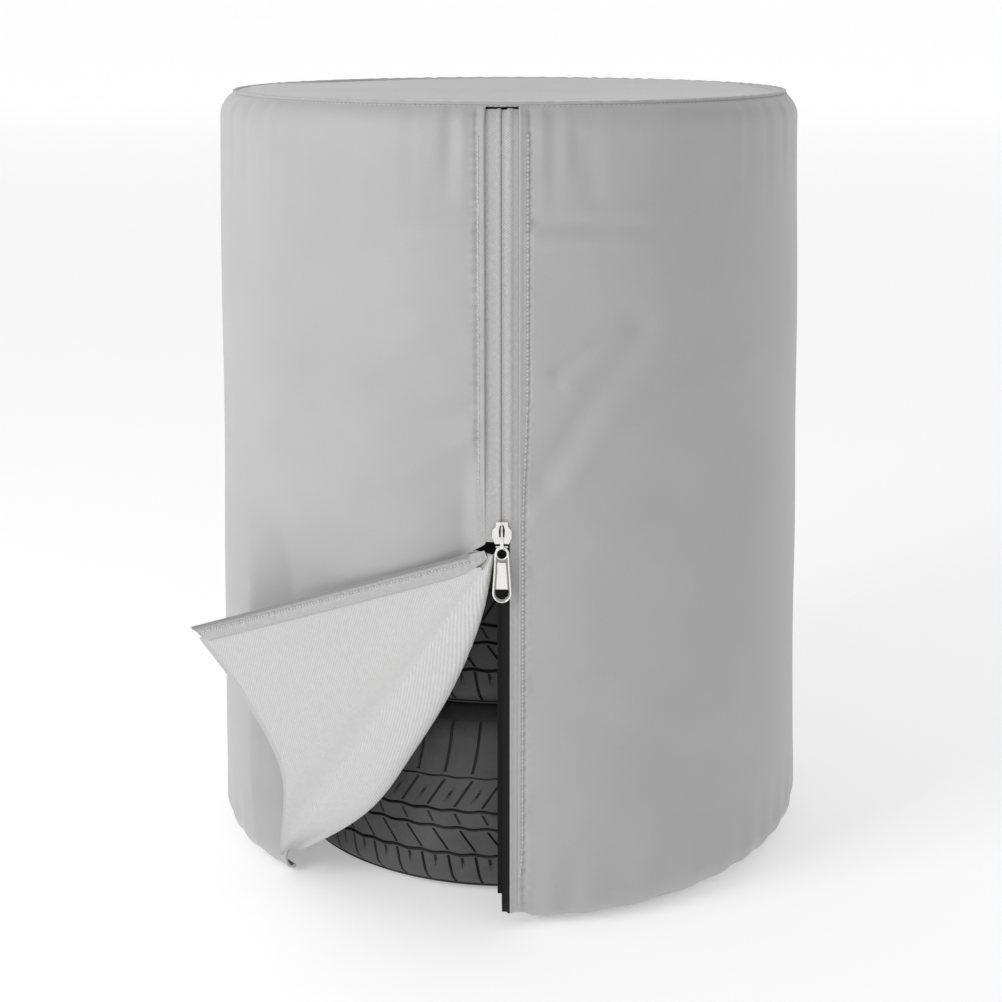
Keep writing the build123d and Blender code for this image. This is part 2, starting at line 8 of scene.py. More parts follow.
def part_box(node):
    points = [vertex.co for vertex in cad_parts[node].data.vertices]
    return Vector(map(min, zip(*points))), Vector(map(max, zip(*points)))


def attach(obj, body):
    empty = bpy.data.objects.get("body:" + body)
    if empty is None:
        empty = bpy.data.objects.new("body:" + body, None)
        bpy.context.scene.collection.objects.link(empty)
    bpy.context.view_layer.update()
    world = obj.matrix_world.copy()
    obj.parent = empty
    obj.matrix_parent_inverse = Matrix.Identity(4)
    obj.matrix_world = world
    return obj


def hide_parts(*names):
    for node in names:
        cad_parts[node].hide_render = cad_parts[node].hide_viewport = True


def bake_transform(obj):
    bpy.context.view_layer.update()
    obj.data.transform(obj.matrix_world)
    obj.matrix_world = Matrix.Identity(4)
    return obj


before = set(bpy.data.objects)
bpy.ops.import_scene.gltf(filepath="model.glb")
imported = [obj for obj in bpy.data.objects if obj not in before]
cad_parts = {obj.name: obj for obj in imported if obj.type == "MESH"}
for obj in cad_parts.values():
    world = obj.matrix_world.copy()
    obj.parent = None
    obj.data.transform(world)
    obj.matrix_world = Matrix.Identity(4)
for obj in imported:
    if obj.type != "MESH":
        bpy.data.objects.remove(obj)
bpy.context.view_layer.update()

# ---- shape of the cover, in metres and degrees ----
TOP_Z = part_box("top_panel")[1].z
FOOT_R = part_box("side_wall_right")[1].x
TAPER = 0.022                    # how much narrower the shoulder is than the foot
SHOULDER_R = FOOT_R - TAPER
SHOULDER_ROUND = 0.035
FOOT_ROUND = 0.040
FOOT_Z = FOOT_ROUND + 0.006
SHOULDER_Z = TOP_Z - SHOULDER_ROUND
FOOT_TURN = math.radians(70.0)
SEAM_TURN = math.radians(62.0)
CLOTH = 0.003
LIP_X = 0.020                    # folded cloth edge, from the zip's middle
OPEN_Z = 0.505                   # bottom of the slider
APEX = np.array([0.0, -(FOOT_R - TAPER * (OPEN_Z - FOOT_Z) / (SHOULDER_Z - FOOT_Z)), OPEN_Z])
ROOT_AZIMUTH = 54.0
ROOT_Z = 0.042
HINGE_AZIMUTH = 46.0
FAN_FOOT_Z = 0.045
STRIP_WIDTHS = (7.3, 13.1, 15.7)
OPEN_BENDS = (154.0, -3.0, -10.0)
STRIP_REACHES = (0.562, 0.472, 0.447, 0.460)
LEAN = math.atan2(TAPER, SHOULDER_Z - FOOT_Z)
ZIP_UP = np.array([0.0, math.sin(LEAN), math.cos(LEAN)])
ZIP_OUT = np.array([0.0, -math.cos(LEAN), math.sin(LEAN)])


# ---- materials ----
def grey(value):
    return (value, value, value)


def new_material(name, color, roughness, metallic=0.0, sheen=0.0, specular=0.5):
    """A material with its node tree, and the shader node whose sockets are still free."""
    m = bpy.data.materials.new(name)
    m.use_nodes = True
    nodes = m.node_tree.nodes
    shader = nodes["Principled BSDF"]
    shader.inputs["Base Color"].default_value = (*color, 1.0)
    shader.inputs["Roughness"].default_value = roughness
    shader.inputs["Metallic"].default_value = metallic
    shader.inputs["Sheen Weight"].default_value = sheen
    shader.inputs["Sheen Roughness"].default_value = 0.4
    shader.inputs["Specular IOR Level"].default_value = specular
    return m, m.node_tree, shader


def add_node(tree, kind, links=None, **values):
    """A node with its sockets set to values, or linked to other nodes' outputs."""
    node = tree.nodes.new(kind)
    for key, value in values.items():
        setattr(node, key, value)
    for socket, value in (links or {}).items():
        if isinstance(value, bpy.types.NodeSocket):
            tree.links.new(value, node.inputs[socket])
        else:
            node.inputs[socket].default_value = value
    return node


def color_by(tree, shader, source, low, high, socket="Base Color"):
    """Drives a socket of the shader by source, between a low and a high (place, colour) stop."""
    node = add_node(tree, "ShaderNodeValToRGB", {"Fac": source})
    for element, (place, color) in zip(node.color_ramp.elements, (low, high)):
        element.position = place
        element.color = (*color, 1.0)
    tree.links.new(node.outputs["Color"], shader.inputs[socket])


def raise_by(tree, shader, height, strength, distance):
    """Bumps the surface by a height."""
    raised = add_node(tree, "ShaderNodeBump", {
        "Height": height, "Strength": strength, "Distance": distance})
    tree.links.new(raised.outputs[0], shader.inputs["Normal"])


def weave_material(name, dark, light, roughness, thread, slant, bump, mottle, sheen=0.3):
    """Woven cloth: fine diagonal ribs across the flat pattern, small slubs and broad shading."""
    m, tree, shader = new_material(name, light, roughness, sheen=sheen, specular=0.35)
    pattern = add_node(tree, "ShaderNodeTexCoord").outputs["UV"]
    turned = add_node(tree, "ShaderNodeMapping", {"Vector": pattern, "Rotation": (0, 0, slant)})
    ribs = add_node(tree, "ShaderNodeTexWave", {
        "Vector": turned.outputs[0], "Scale": 0.31 / thread, "Distortion": 1.1,
        "Detail": 2.0, "Detail Scale": 2.0}, bands_direction="X")
    cross = add_node(tree, "ShaderNodeTexWave", {
        "Vector": turned.outputs[0], "Scale": 0.24 / thread, "Distortion": 1.6,
        "Detail": 2.0, "Detail Scale": 3.0}, bands_direction="Y")
    slub = add_node(tree, "ShaderNodeTexNoise", {
        "Vector": turned.outputs[0], "Scale": 0.4 / thread, "Detail": 4.0, "Roughness": 0.65})
    broad = add_node(tree, "ShaderNodeTexNoise", {
        "Vector": pattern, "Scale": 7.0, "Detail": 3.0, "Roughness": 0.5})
    softened = add_node(tree, "ShaderNodeMath", {0: cross.outputs["Fac"], 1: 0.35, 2: 0.65},
                        operation="MULTIPLY_ADD")
    woven = add_node(tree, "ShaderNodeMath", {0: ribs.outputs["Fac"], 1: softened.outputs[0]},
                     operation="MULTIPLY")
    rough = add_node(tree, "ShaderNodeMath", {0: woven.outputs[0], 1: slub.outputs["Fac"]},
                     operation="ADD")
    shade = add_node(tree, "ShaderNodeMath", {0: rough.outputs[0], 1: 0.5}, operation="MULTIPLY")
    mixed = add_node(tree, "ShaderNodeMix", {0: mottle, 2: shade.outputs[0],
                                             3: broad.outputs["Fac"]}, data_type="FLOAT")
    color_by(tree, shader, mixed.outputs[0], (0.15, dark), (0.75, light))
    raise_by(tree, shader, rough.outputs[0], bump, 0.0006)
    return m


def metal_material(name, color):
    """Bright plated metal with a faint haze and fine rub marks."""
    m, tree, shader = new_material(name, color, 0.22, metallic=1.0)
    place = add_node(tree, "ShaderNodeTexCoord").outputs["Object"]
    haze = add_node(tree, "ShaderNodeTexNoise", {"Vector": place, "Scale": 260.0, "Detail": 5.0})
    rubs = add_node(tree, "ShaderNodeTexNoise", {"Vector": place, "Scale": 1400.0, "Detail": 2.0})
    color_by(tree, shader, haze.outputs["Fac"], (0.3, grey(0.16)), (0.75, grey(0.42)), "Roughness")
    color_by(tree, shader, haze.outputs["Fac"], (0.2, tuple(0.82 * c for c in color)), (0.7, color))
    raise_by(tree, shader, rubs.outputs["Fac"], 0.12, 0.0002)
    return m


def rubber_material(name, low, high):
    """Dark tyre rubber, dusty grey on its faces, with a fine moulded grain."""
    m, tree, shader = new_material(name, (0.05, 0.05, 0.05), 0.62, specular=0.45)
    place = add_node(tree, "ShaderNodeTexCoord").outputs["Object"]
    dust = add_node(tree, "ShaderNodeTexNoise", {"Vector": place, "Scale": 22.0, "Detail": 6.0,
                                                 "Roughness": 0.7})
    grain = add_node(tree, "ShaderNodeTexNoise", {"Vector": place, "Scale": 900.0, "Detail": 3.0})
    color_by(tree, shader, dust.outputs["Fac"], (0.25, grey(low)), (0.75, grey(high)))
    color_by(tree, shader, dust.outputs["Fac"], (0.3, grey(0.5)), (0.7, grey(0.75)), "Roughness")
    raise_by(tree, shader, grain.outputs["Fac"], 0.25, 0.0005)
    return m


outer_cloth = weave_material("outer_cloth", grey(0.40), grey(0.50), 0.5, 0.0011, 0.6, 0.22, 0.45)
lining = weave_material("lining_cloth", grey(0.50), grey(0.66), 0.5, 0.0030, -0.30, 0.5, 0.10)
binding = weave_material("binding_cloth", grey(0.44), grey(0.62), 0.5, 0.0012, 0.3, 0.4, 0.2)
tape_cloth = weave_material("zip_tape_cloth", grey(0.38), grey(0.62), 0.6, 0.0022, 0.78, 0.8, 0.1)
# near-black cloth: painted shadow of the dark gap behind the open zip, beside the tyres
gap_shadow_cloth = weave_material("gap_shadow_cloth", grey(0.0015), grey(0.004), 0.8, 0.0012, 0.2, 0.3,
                             0.2, sheen=0.0)
thread_cloth = weave_material("thread", grey(0.52), grey(0.74), 0.5, 0.0004, 0.5, 0.3, 0.2)
coil_plastic = weave_material("coil_plastic", grey(0.40), grey(0.55), 0.35, 0.0006, 0.5, 0.15,
                              0.2, sheen=0.0)
nickel = metal_material("plated_metal", (0.90, 0.89, 0.87))
# darker copy of the plated metal: painted shade for the pull tab's plate between its bright rims and
# field
shaded_copy_metal = metal_material("shaded_metal", (0.30, 0.30, 0.295))
# near-black metal: painted shade of the slider's recess
recess_shade_metal = metal_material("recess_shade_metal", (0.025, 0.025, 0.025))
rubber = rubber_material("tyre_rubber", 0.050, 0.105)
# near-black rubber: painted shade in the tread's slots and grooves
groove_shade_rubber = rubber_material("groove_shade_rubber", 0.006, 0.014)


# ---- mesh helpers ----
def smooth(low, high, value):
    """0 below low, 1 above high, and an even curve between."""
    share = np.clip((np.asarray(value, float) - low) / (high - low), 0.0, 1.0)
    return share * share * (3.0 - 2.0 * share)


def unit(v):
    return v / np.maximum(np.linalg.norm(v, axis=-1, keepdims=True), 1e-12)


def around_axis(radius, azimuth, z):
    """Points round the upright axis of the stack, at azimuths counted from the zip."""
    return np.stack(np.broadcast_arrays(radius * np.sin(azimuth), -radius * np.cos(azimuth), z), -1)


def ring_faces(rows, columns):
    """Quads over a grid of points that closes on itself both ways."""
    faces = []
    for r in range(rows):
        n = (r + 1) % rows
        for c in range(columns):
            d = (c + 1) % columns
            faces.append((r * columns + c, r * columns + d, n * columns + d, n * columns + c))
    return faces


def fit(piece, body, slot, *nodes):
    """Puts a piece on its body, in place of the solids that it shows; slot is not used."""
    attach(piece, body)
    if nodes:
        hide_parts(*nodes)


def mesh_object(name, points, faces, materials, indices=None, uv=None):
    """A smooth mesh from points and quads or triangles, with UVs given per point."""
    mesh = bpy.data.meshes.new(name)
    mesh.from_pydata([tuple(p) for p in points], [], faces)
    for m in materials:
        mesh.materials.append(m)
    if indices is not None:
        mesh.polygons.foreach_set("material_index", np.asarray(indices, np.int32))
    if uv is not None:
        layer = mesh.uv_layers.new(name="pattern")
        loops = np.zeros(len(mesh.loops), np.int32)
        mesh.loops.foreach_get("vertex_index", loops)
        layer.data.foreach_set("uv", np.asarray(uv, np.float32)[loops].ravel())
    mesh.polygons.foreach_set("use_smooth", np.ones(len(mesh.polygons), bool))
    mesh.update()
    mesh.set_sharp_from_angle(angle=math.radians(50))
    made = bpy.data.objects.new(name, mesh)
    bpy.context.scene.collection.objects.link(made)
    return made


def grid_normals(grid, wrap=False):
    """Unit normals of a grid of points, from its rows crossed with its columns."""
    if wrap:
        along = np.roll(grid, -1, axis=1) - np.roll(grid, 1, axis=1)
    else:
        along = np.gradient(grid, axis=1)
    return unit(np.cross(along, np.gradient(grid, axis=0)))


def pattern_uv(grid):
    """Flat-pattern coordinates of a grid, in metres along its columns and rows."""
    across = np.zeros(grid.shape[:2])
    across[:, 1:] = np.cumsum(np.linalg.norm(np.diff(grid, axis=1), axis=2), axis=1)
    upward = np.zeros(grid.shape[:2])
    upward[1:, :] = np.cumsum(np.linalg.norm(np.diff(grid, axis=0), axis=2), axis=0)
    return np.stack([across.mean(0)[None, :].repeat(len(grid), 0), upward], axis=2)


def cloth(name, grid, materials, thickness=CLOTH, wrap=False, border=None, lift=0.0,
          normal=None, uv=None):
    """Closed sheet of cloth: grid is its face, the other face lies behind by the thickness, and
    materials are for the face, the back and the cut edges. border(row, column) picks edges."""
    rows, columns = grid.shape[:2]
    normal = grid_normals(grid, wrap) if normal is None else normal
    face = grid + normal * lift
    thick = thickness if np.ndim(thickness) == 0 else np.asarray(thickness)[..., None]
    back = face - normal * thick
    points = np.concatenate([face.reshape(-1, 3), back.reshape(-1, 3)])
    uv = (pattern_uv(grid) if uv is None else uv).reshape(-1, 2)
    size = rows * columns
    faces, kinds = [], []
    last = columns if wrap else columns - 1
    for r in range(rows - 1):
        for c in range(last):
            d = (c + 1) % columns
            a, b = r * columns + c, r * columns + d
            e, f = a + columns, b + columns
            edge = border(r, c) if border is not None else None
            faces.append((a, b, f, e))
            kinds.append(0 if edge is None else edge)
            faces.append((size + a, size + e, size + f, size + b))
            kinds.append(1 if edge is None else edge)
    for c in range(last):
        d = (c + 1) % columns
        faces.append((c, size + c, size + d, d))
        top = (rows - 1) * columns
        faces.append((top + c, top + d, size + top + d, size + top + c))
        kinds += [2, 2]
    if not wrap:
        for r in range(rows - 1):
            a = r * columns
            faces.append((a, a + columns, size + a + columns, size + a))
            b = a + columns - 1
            faces.append((b, size + b, size + b + columns, b + columns))
            kinds += [2, 2]
    return mesh_object(name, points, faces, materials, kinds, np.concatenate([uv, uv]))


def tube(name, line, radius, material, sides=8, closed=False):
    """Round tube along a line of points, with capped ends."""
    line = np.asarray(line, float)
    along = unit(np.roll(line, -1, 0) - np.roll(line, 1, 0)) if closed else \
        unit(np.gradient(line, axis=0))
    side = unit(np.cross(along, np.array([0.13, 0.21, 0.97])))
    up = np.cross(side, along)
    turn = np.linspace(0, 2 * math.pi, sides, endpoint=False)
    ring = (line[:, None] + radius * (side[:, None] * np.cos(turn)[None, :, None]
                                      + up[:, None] * np.sin(turn)[None, :, None]))
    count = len(line)
    faces = []
    for i in range(count if closed else count - 1):
        n = (i + 1) % count
        for k in range(sides):
            m = (k + 1) % sides
            faces.append((i * sides + k, n * sides + k, n * sides + m, i * sides + m))
    if not closed:
        faces.append(tuple(range(sides)))
        faces.append(tuple((count - 1) * sides + k for k in reversed(range(sides))))
    uv = np.stack([np.repeat(np.arange(count) * 0.002, sides), np.tile(turn * radius, count)], 1)
    return mesh_object(name, ring.reshape(-1, 3), faces, [material], None, uv)


def stitches(name, line, normal, material, pitch=0.0045, length=0.0034, width=0.0007):
    """Row of plump thread stitches laid along a line on the cloth."""
    line, normal = np.asarray(line, float), unit(np.asarray(normal, float))
    steps = np.concatenate([[0.0], np.cumsum(np.linalg.norm(np.diff(line, axis=0), axis=1))])
    places = np.arange(pitch / 2, steps[-1], pitch)

    def at(values, where):
        return np.stack([np.interp(where, steps, values[:, k]) for k in range(3)], 1)

    middle, up = at(line, places), unit(at(normal, places))
    along = unit(at(line, np.minimum(places + 0.001, steps[-1]))
                 - at(line, np.maximum(places - 0.001, 0.0)))
    side = unit(np.cross(up, along))
    rings = [(-0.5, 0.15), (-0.36, 0.8), (0.0, 1.0), (0.36, 0.8), (0.5, 0.15)]
    turn = np.linspace(0, 2 * math.pi, 6, endpoint=False)
    points, faces, uv = [], [], []
    for m, u, a, s in zip(middle, up, along, side):
        base = len(points)
        for share, size in rings:
            for k in turn:
                arch = (0.25 - share * share) * 1.6 * width
                points.append(m + a * (share * length) + u * (arch + math.sin(k) * width * size)
                              + s * (math.cos(k) * width * size))
                uv.append((share * length, k * width))
        for i in range(len(rings) - 1):
            for k in range(6):
                n = (k + 1) % 6
                faces.append((base + i * 6 + k, base + i * 6 + n,
                              base + i * 6 + 6 + n, base + i * 6 + 6 + k))
        faces.append(tuple(base + k for k in reversed(range(6))))
        faces.append(tuple(base + 24 + k for k in range(6)))
    return mesh_object(name, points, faces, [material], None, uv)


def through(points, count):
    """Centripetal curve through points: count samples on each span, and where each point falls."""
    p = np.asarray(points, float)
    p = np.concatenate([[2 * p[0] - p[1]], p, [2 * p[-1] - p[-2]]])
    out = []
    for i in range(1, len(p) - 2):
        a, b, c, d = p[i - 1], p[i], p[i + 1], p[i + 2]
        t0 = 0.0
        t1 = max(np.linalg.norm(b - a), 1e-9) ** 0.5
        t2 = t1 + max(np.linalg.norm(c - b), 1e-9) ** 0.5
        t3 = t2 + max(np.linalg.norm(d - c), 1e-9) ** 0.5
        t = np.linspace(t1, t2, count, endpoint=False)[:, None]
        ab = (t1 - t) / (t1 - t0) * a + (t - t0) / (t1 - t0) * b
        bc = (t2 - t) / (t2 - t1) * b + (t - t1) / (t2 - t1) * c
        cd = (t3 - t) / (t3 - t2) * c + (t - t2) / (t3 - t2) * d
        abc = (t2 - t) / (t2 - t0) * ab + (t - t0) / (t2 - t0) * bc
        bcd = (t3 - t) / (t3 - t1) * bc + (t - t1) / (t3 - t1) * cd
        out.append((t2 - t) / (t2 - t1) * abc + (t - t1) / (t2 - t1) * bcd)
    out.append(p[-2][None])
    return np.concatenate(out)


# ---- the cover's wall ----
FOOT_LENGTH = FOOT_TURN * FOOT_ROUND
WALL_LENGTH = math.hypot(TAPER, SHOULDER_Z - FOOT_Z)
SHOULDER_LENGTH = SEAM_TURN * SHOULDER_ROUND
FULL_LENGTH = FOOT_LENGTH + WALL_LENGTH + SHOULDER_LENGTH


def wall_profile(length):
    """Radius, height and outward slope of the wall at a distance up from its hem."""
    length = np.asarray(length, float)
    foot = -FOOT_TURN + np.clip(length, None, FOOT_LENGTH) / FOOT_ROUND
    rise = np.clip((length - FOOT_LENGTH) / WALL_LENGTH, 0.0, 1.0)
    over = np.clip(length - FOOT_LENGTH - WALL_LENGTH, 0.0, None) / SHOULDER_ROUND
    radius = np.where(length < FOOT_LENGTH, FOOT_R - FOOT_ROUND + FOOT_ROUND * np.cos(foot),
                      FOOT_R + (SHOULDER_R - FOOT_R) * rise)
    height = np.where(length < FOOT_LENGTH, FOOT_Z + FOOT_ROUND * np.sin(foot),
                      FOOT_Z + (SHOULDER_Z - FOOT_Z) * rise)
    top = length > FOOT_LENGTH + WALL_LENGTH
    radius = np.where(top, SHOULDER_R - SHOULDER_ROUND * (1 - np.cos(over)), radius)
    height = np.where(top, SHOULDER_Z + SHOULDER_ROUND * np.sin(over), height)
    slope = np.where(length < FOOT_LENGTH, foot, np.where(top, over, LEAN))
    return radius, height, slope


def wall_radius(z):
    return FOOT_R + (SHOULDER_R - FOOT_R) * (np.asarray(z, float) - FOOT_Z) / (SHOULDER_Z - FOOT_Z)


# soft creases: ends in the front view (x, z), half width and height, all in metres
CREASES = (
    (-0.030, 0.905, -0.150, 0.880, 0.012, -0.0030), (-0.030, 0.885, -0.110, 0.868, 0.009, 0.0026),
    (-0.035, 0.800, -0.180, 0.770, 0.022, -0.0028), (-0.030, 0.672, -0.120, 0.640, 0.016, -0.0034),
    (-0.030, 0.640, -0.100, 0.590, 0.012, 0.0030), (-0.035, 0.600, -0.140, 0.545, 0.016, -0.0032),
    (-0.030, 0.560, -0.085, 0.530, 0.010, 0.0026), (-0.060, 0.990, -0.080, 0.900, 0.014, -0.0022),
    (-0.180, 0.985, -0.200, 0.890, 0.018, -0.0020), (-0.220, 0.720, -0.300, 0.560, 0.030, -0.0030),
    (-0.100, 0.760, -0.210, 0.690, 0.026, 0.0026), (-0.250, 0.930, -0.310, 0.760, 0.030, 0.0026),
    (0.040, 0.892, 0.165, 0.886, 0.009, -0.0036), (0.040, 0.872, 0.150, 0.868, 0.010, 0.0024),
    (0.066, 0.715, 0.115, 0.745, 0.010, -0.0034), (0.080, 0.700, 0.135, 0.730, 0.010, 0.0026),
    (0.052, 0.585, 0.165, 0.765, 0.018, -0.0040), (0.165, 0.765, 0.240, 0.850, 0.020, -0.0032),
    (0.080, 0.585, 0.200, 0.760, 0.020, 0.0030), (0.040, 0.540, 0.110, 0.610, 0.012, 0.0024),
    (0.040, 0.470, 0.100, 0.500, 0.012, -0.0026), (0.040, 0.330, 0.090, 0.345, 0.010, -0.0024),
    (0.040, 0.160, 0.110, 0.185, 0.014, -0.0026), (0.200, 0.560, 0.300, 0.420, 0.034, -0.0030),
    (0.150, 0.300, 0.260, 0.240, 0.030, 0.0026), (0.090, 0.990, 0.110, 0.915, 0.014, -0.0022),
    (0.230, 0.985, 0.250, 0.880, 0.018, -0.0022), (0.300, 0.700, 0.350, 0.520, 0.030, 0.0024),
)


def creases(grid):
    """How far soft folds push each point of a wall outwards."""
    x, z = grid[..., 0], grid[..., 2]
    out = np.zeros(x.shape)
    front = smooth(-0.02, -0.12, grid[..., 1])
    for x0, z0, x1, z1, width, height in CREASES:
        span = np.array([x1 - x0, z1 - z0])
        share = ((x - x0) * span[0] + (z - z0) * span[1]) / (span @ span)
        near = np.clip(share, 0.0, 1.0)
        away = np.hypot(x - x0 - near * span[0], z - z0 - near * span[1])
        out += height * np.exp(-(away / width) ** 2) * (1.0 - 0.55 * near) * front
    angle = np.arctan2(grid[..., 0], -grid[..., 1])
    swell = (np.sin(5 * angle + 4.1 * z) * np.sin(6.3 * z + 1.3)
             + 0.6 * np.sin(9 * angle - 7.0 * z + 0.8) * np.sin(11.0 * z))
    back = (1.0 - front) * (np.sin(17 * angle + 5.0 * z) * np.sin(14.0 * z + angle) * 0.7)
    return out + 0.0012 * swell + 0.0013 * back


def gathers(angle, z):
    """Small upright ripples where the cloth is gathered into the top seam and the hem."""
    top = smooth(0.86, 1.0, z) * (0.5 + 0.5 * np.sin(7 * angle + 1.0))
    low = smooth(0.14, 0.03, z)
    ripple = np.sin(61 * angle + 1.3 * np.sin(9 * angle)) + 0.6 * np.sin(97 * angle + 2.0)
    return 0.0009 * top * ripple + 0.0013 * low * np.sin(43 * angle + 1.9 * np.sin(6 * angle))


def lip(from_edge, z, side):
    """Rolled edge beside the zip, with the row of stitching and its puckers."""
    row = stitch_inset(z, side)
    roll = 0.0009 * np.exp(-((from_edge - 0.0022) / 0.0018) ** 2)
    groove = -0.0017 * np.exp(-((from_edge - row) / 0.0026) ** 2)
    beat = np.sin(2 * math.pi * z / 0.0105 + 1.7 * np.sin(z * 41.0)) + 0.5 * np.sin(z * 283.0)
    pucker = 0.0011 * beat * np.exp(-((from_edge - row) / 0.0062) ** 2)
    tuck = -0.0022 * smooth(0.0012, 0.0, from_edge)
    return roll + groove + pucker + tuck


def stitch_inset(z, side):
    """How far the stitch row runs from the folded edge."""
    if side < 0:
        return np.full(np.shape(z), 0.0100)
    return 0.0075 + 0.0050 * smooth(0.52, 0.70, z)


def start_azimuth(z, side):
    """Where a wall's front edge is, in radians round from the zip."""
    edge = np.arcsin(LIP_X / wall_radius(z))
    if side > 0:
        return edge
    share = np.clip((OPEN_Z - z) / (OPEN_Z - ROOT_Z), 0.0, 1.0)
    root_x = share * float(wall_radius(ROOT_Z)) * math.sin(math.radians(ROOT_AZIMUTH))
    # beside the slider the flap comes out through the wall, so the wall is cut back further
    gape = np.where(z < OPEN_Z, np.minimum(LIP_X + 1.3 * (OPEN_Z - z), 0.066), 0.0)
    root_x = np.maximum(root_x, gape)
    azimuth = np.arcsin(np.clip(root_x / (wall_radius(z) - dent_at_root(share)), 0.0, 0.9))
    foot = smooth(0.085, 0.045, z)
    return np.maximum(edge, azimuth - (azimuth - math.radians(48.5)) * foot)


def dent_at_root(share):
    return 0.047 * np.sin(math.pi * np.clip(share, 0, 1)) + 0.008 * share


def dent(azimuth, z):
    """How far the cloth beside the open zip is pulled in, behind the flat face of the flap."""
    half = math.radians(ROOT_AZIMUTH / 2)
    radius = wall_radius(z)
    plane = (radius * math.cos(half) - 0.010) / np.cos(np.clip(azimuth - half, -1.2, 1.2))
    depth = np.clip(radius - plane, 0.0, None)
    depth = np.where(azimuth < half * 2.6, depth, 0.0)
    shelf = OPEN_Z + 0.004 - 0.124 * np.clip(azimuth / (2 * half), 0.0, 1.2)
    near_zip = smooth(math.radians(1.5), math.radians(8.0), azimuth)
    depth = np.minimum(depth, 0.029 + 0.12 * np.clip(shelf - z, 0.0, None))
    return depth * near_zip * (1.0 - smooth(0.0, 0.150, z - shelf))


def wall_grid(side, lengths, places):
    """A wall's outer surface; side is +1 right of the zip and -1 left of it."""
    corner = 0.045
    grid = np.zeros((len(lengths), len(places), 3))
    back = math.pi - math.asin(0.0008 / FOOT_R)
    for r, length in enumerate(lengths):
        radius, z, slope = wall_profile(length)
        first = start_azimuth(z, side)
        azimuth = first + (back - first) * places
        from_edge = (azimuth - first) * radius
        if side > 0:
            bend = np.clip(1.0 - from_edge / corner, 0.0, 1.0)
            lift = corner * (1.0 - np.sqrt(1.0 - bend ** 2)) * (1.0 - min(length / 0.12, 1.0))
            radius, z, slope = wall_profile(length + lift)
        radius, z, slope = (value * np.ones(len(places)) for value in (radius, z, slope))
        at = around_axis(radius, side * azimuth, z)
        out = creases(at) + gathers(azimuth, z) * smooth(0.0, 0.03, from_edge)
        if side > 0 or z[0] > OPEN_Z:
            out = out * smooth(0.0, 0.018, from_edge) + lip(from_edge, z, side)
        out = out * smooth(-0.001, 0.012, np.minimum(FULL_LENGTH - length, 1.0))
        if side < 0:
            hollow = dent(azimuth, z) * smooth(-FOOT_TURN, 0.0, slope)
            share = smooth(0.0, 0.003, hollow)
            out = out * (1.0 - 0.8 * share) - hollow
        grid[r] = around_axis(radius + out * np.cos(slope), side * azimuth, z + out * np.sin(slope))
    return grid if side > 0 else grid[:, ::-1]


half_round = math.pi * FOOT_R
near_edge = np.concatenate([np.arange(0.0, 0.030, 0.0013), np.arange(0.030, 0.090, 0.004),
                            np.arange(0.090, half_round * 0.55, 0.009),
                            np.linspace(half_round * 0.55, half_round, 46)]) / half_round
wall_rows = np.concatenate([np.linspace(0, FOOT_LENGTH, 12, endpoint=False),
                            np.linspace(FOOT_LENGTH, FOOT_LENGTH + WALL_LENGTH, 330, endpoint=False),
                            np.linspace(FOOT_LENGTH + WALL_LENGTH, FULL_LENGTH, 10)])
cloth_set = [outer_cloth, lining, binding]
wall_grids = {}
# side, name, and the share of its rectangle that each wall takes up
for side, name, share in ((1, "right", 0.96), (-1, "left", 0.86)):
    wall_grids[name] = wall_grid(side, wall_rows, near_edge)
    wall = cloth(f"wall_{name}", wall_grids[name], cloth_set, thickness=0.0028)
    fit(wall, "cover", "cover_cloth", f"side_wall_{name}")

# ---- top of the cover ----
around = np.linspace(0, 2 * math.pi, 480, endpoint=False)


def shoulder_ring(turn, proud):
    """Circle on the rounded shoulder at a turn over the top, standing proud by a distance."""
    r = SHOULDER_R - SHOULDER_ROUND + (SHOULDER_ROUND + proud) * math.cos(turn)
    z = SHOULDER_Z + (SHOULDER_ROUND + proud) * math.sin(turn)
    return around_axis(r, around, z)


ripples = (np.sin(83 * around + 2.1 * np.sin(7 * around)) * 0.5
           + np.sin(131 * around + 1.4 * np.sin(11 * around)) * 0.3)
uneven = 0.6 + 0.4 * np.sin(5 * around + 0.6) * np.sin(3 * around)
panel_from = SEAM_TURN + math.radians(5.4)
panel_rows = []
for share in np.linspace(0.0, 1.0, 8, endpoint=False):
    turn = panel_from + (math.pi / 2 - panel_from) * share
    ring = shoulder_ring(turn, -0.0002)
    ring[:, 2] += 0.0007 * ripples * uneven * (1.0 - 0.3 * share)
    panel_rows.append(ring)
flat_r = SHOULDER_R - SHOULDER_ROUND
for radius in np.concatenate([flat_r - 0.330 * np.linspace(0, 1, 42) ** 1.3, [0.012, 0.002]]):
    edge = smooth(flat_r - 0.06, flat_r, radius)
    sag = -0.0028 * (1.0 - (radius / flat_r) ** 2)
    billow = 0.0014 * (np.sin(3 * around + 9 * radius) * np.sin(14 * radius)
                       + 0.5 * np.sin(5 * around - 12 * radius + 1.0)) * (radius / flat_r)
    z = SHOULDER_Z + SHOULDER_ROUND + sag + billow + 0.0007 * ripples * uneven * edge * 0.7
    panel_rows.append(around_axis(radius, around, z - 0.0012))
top_grid = np.stack(panel_rows)
top_cloth = cloth("top_cloth", top_grid, cloth_set, thickness=0.0022, wrap=True)
fit(top_cloth, "cover", "cover_cloth", "top_panel")

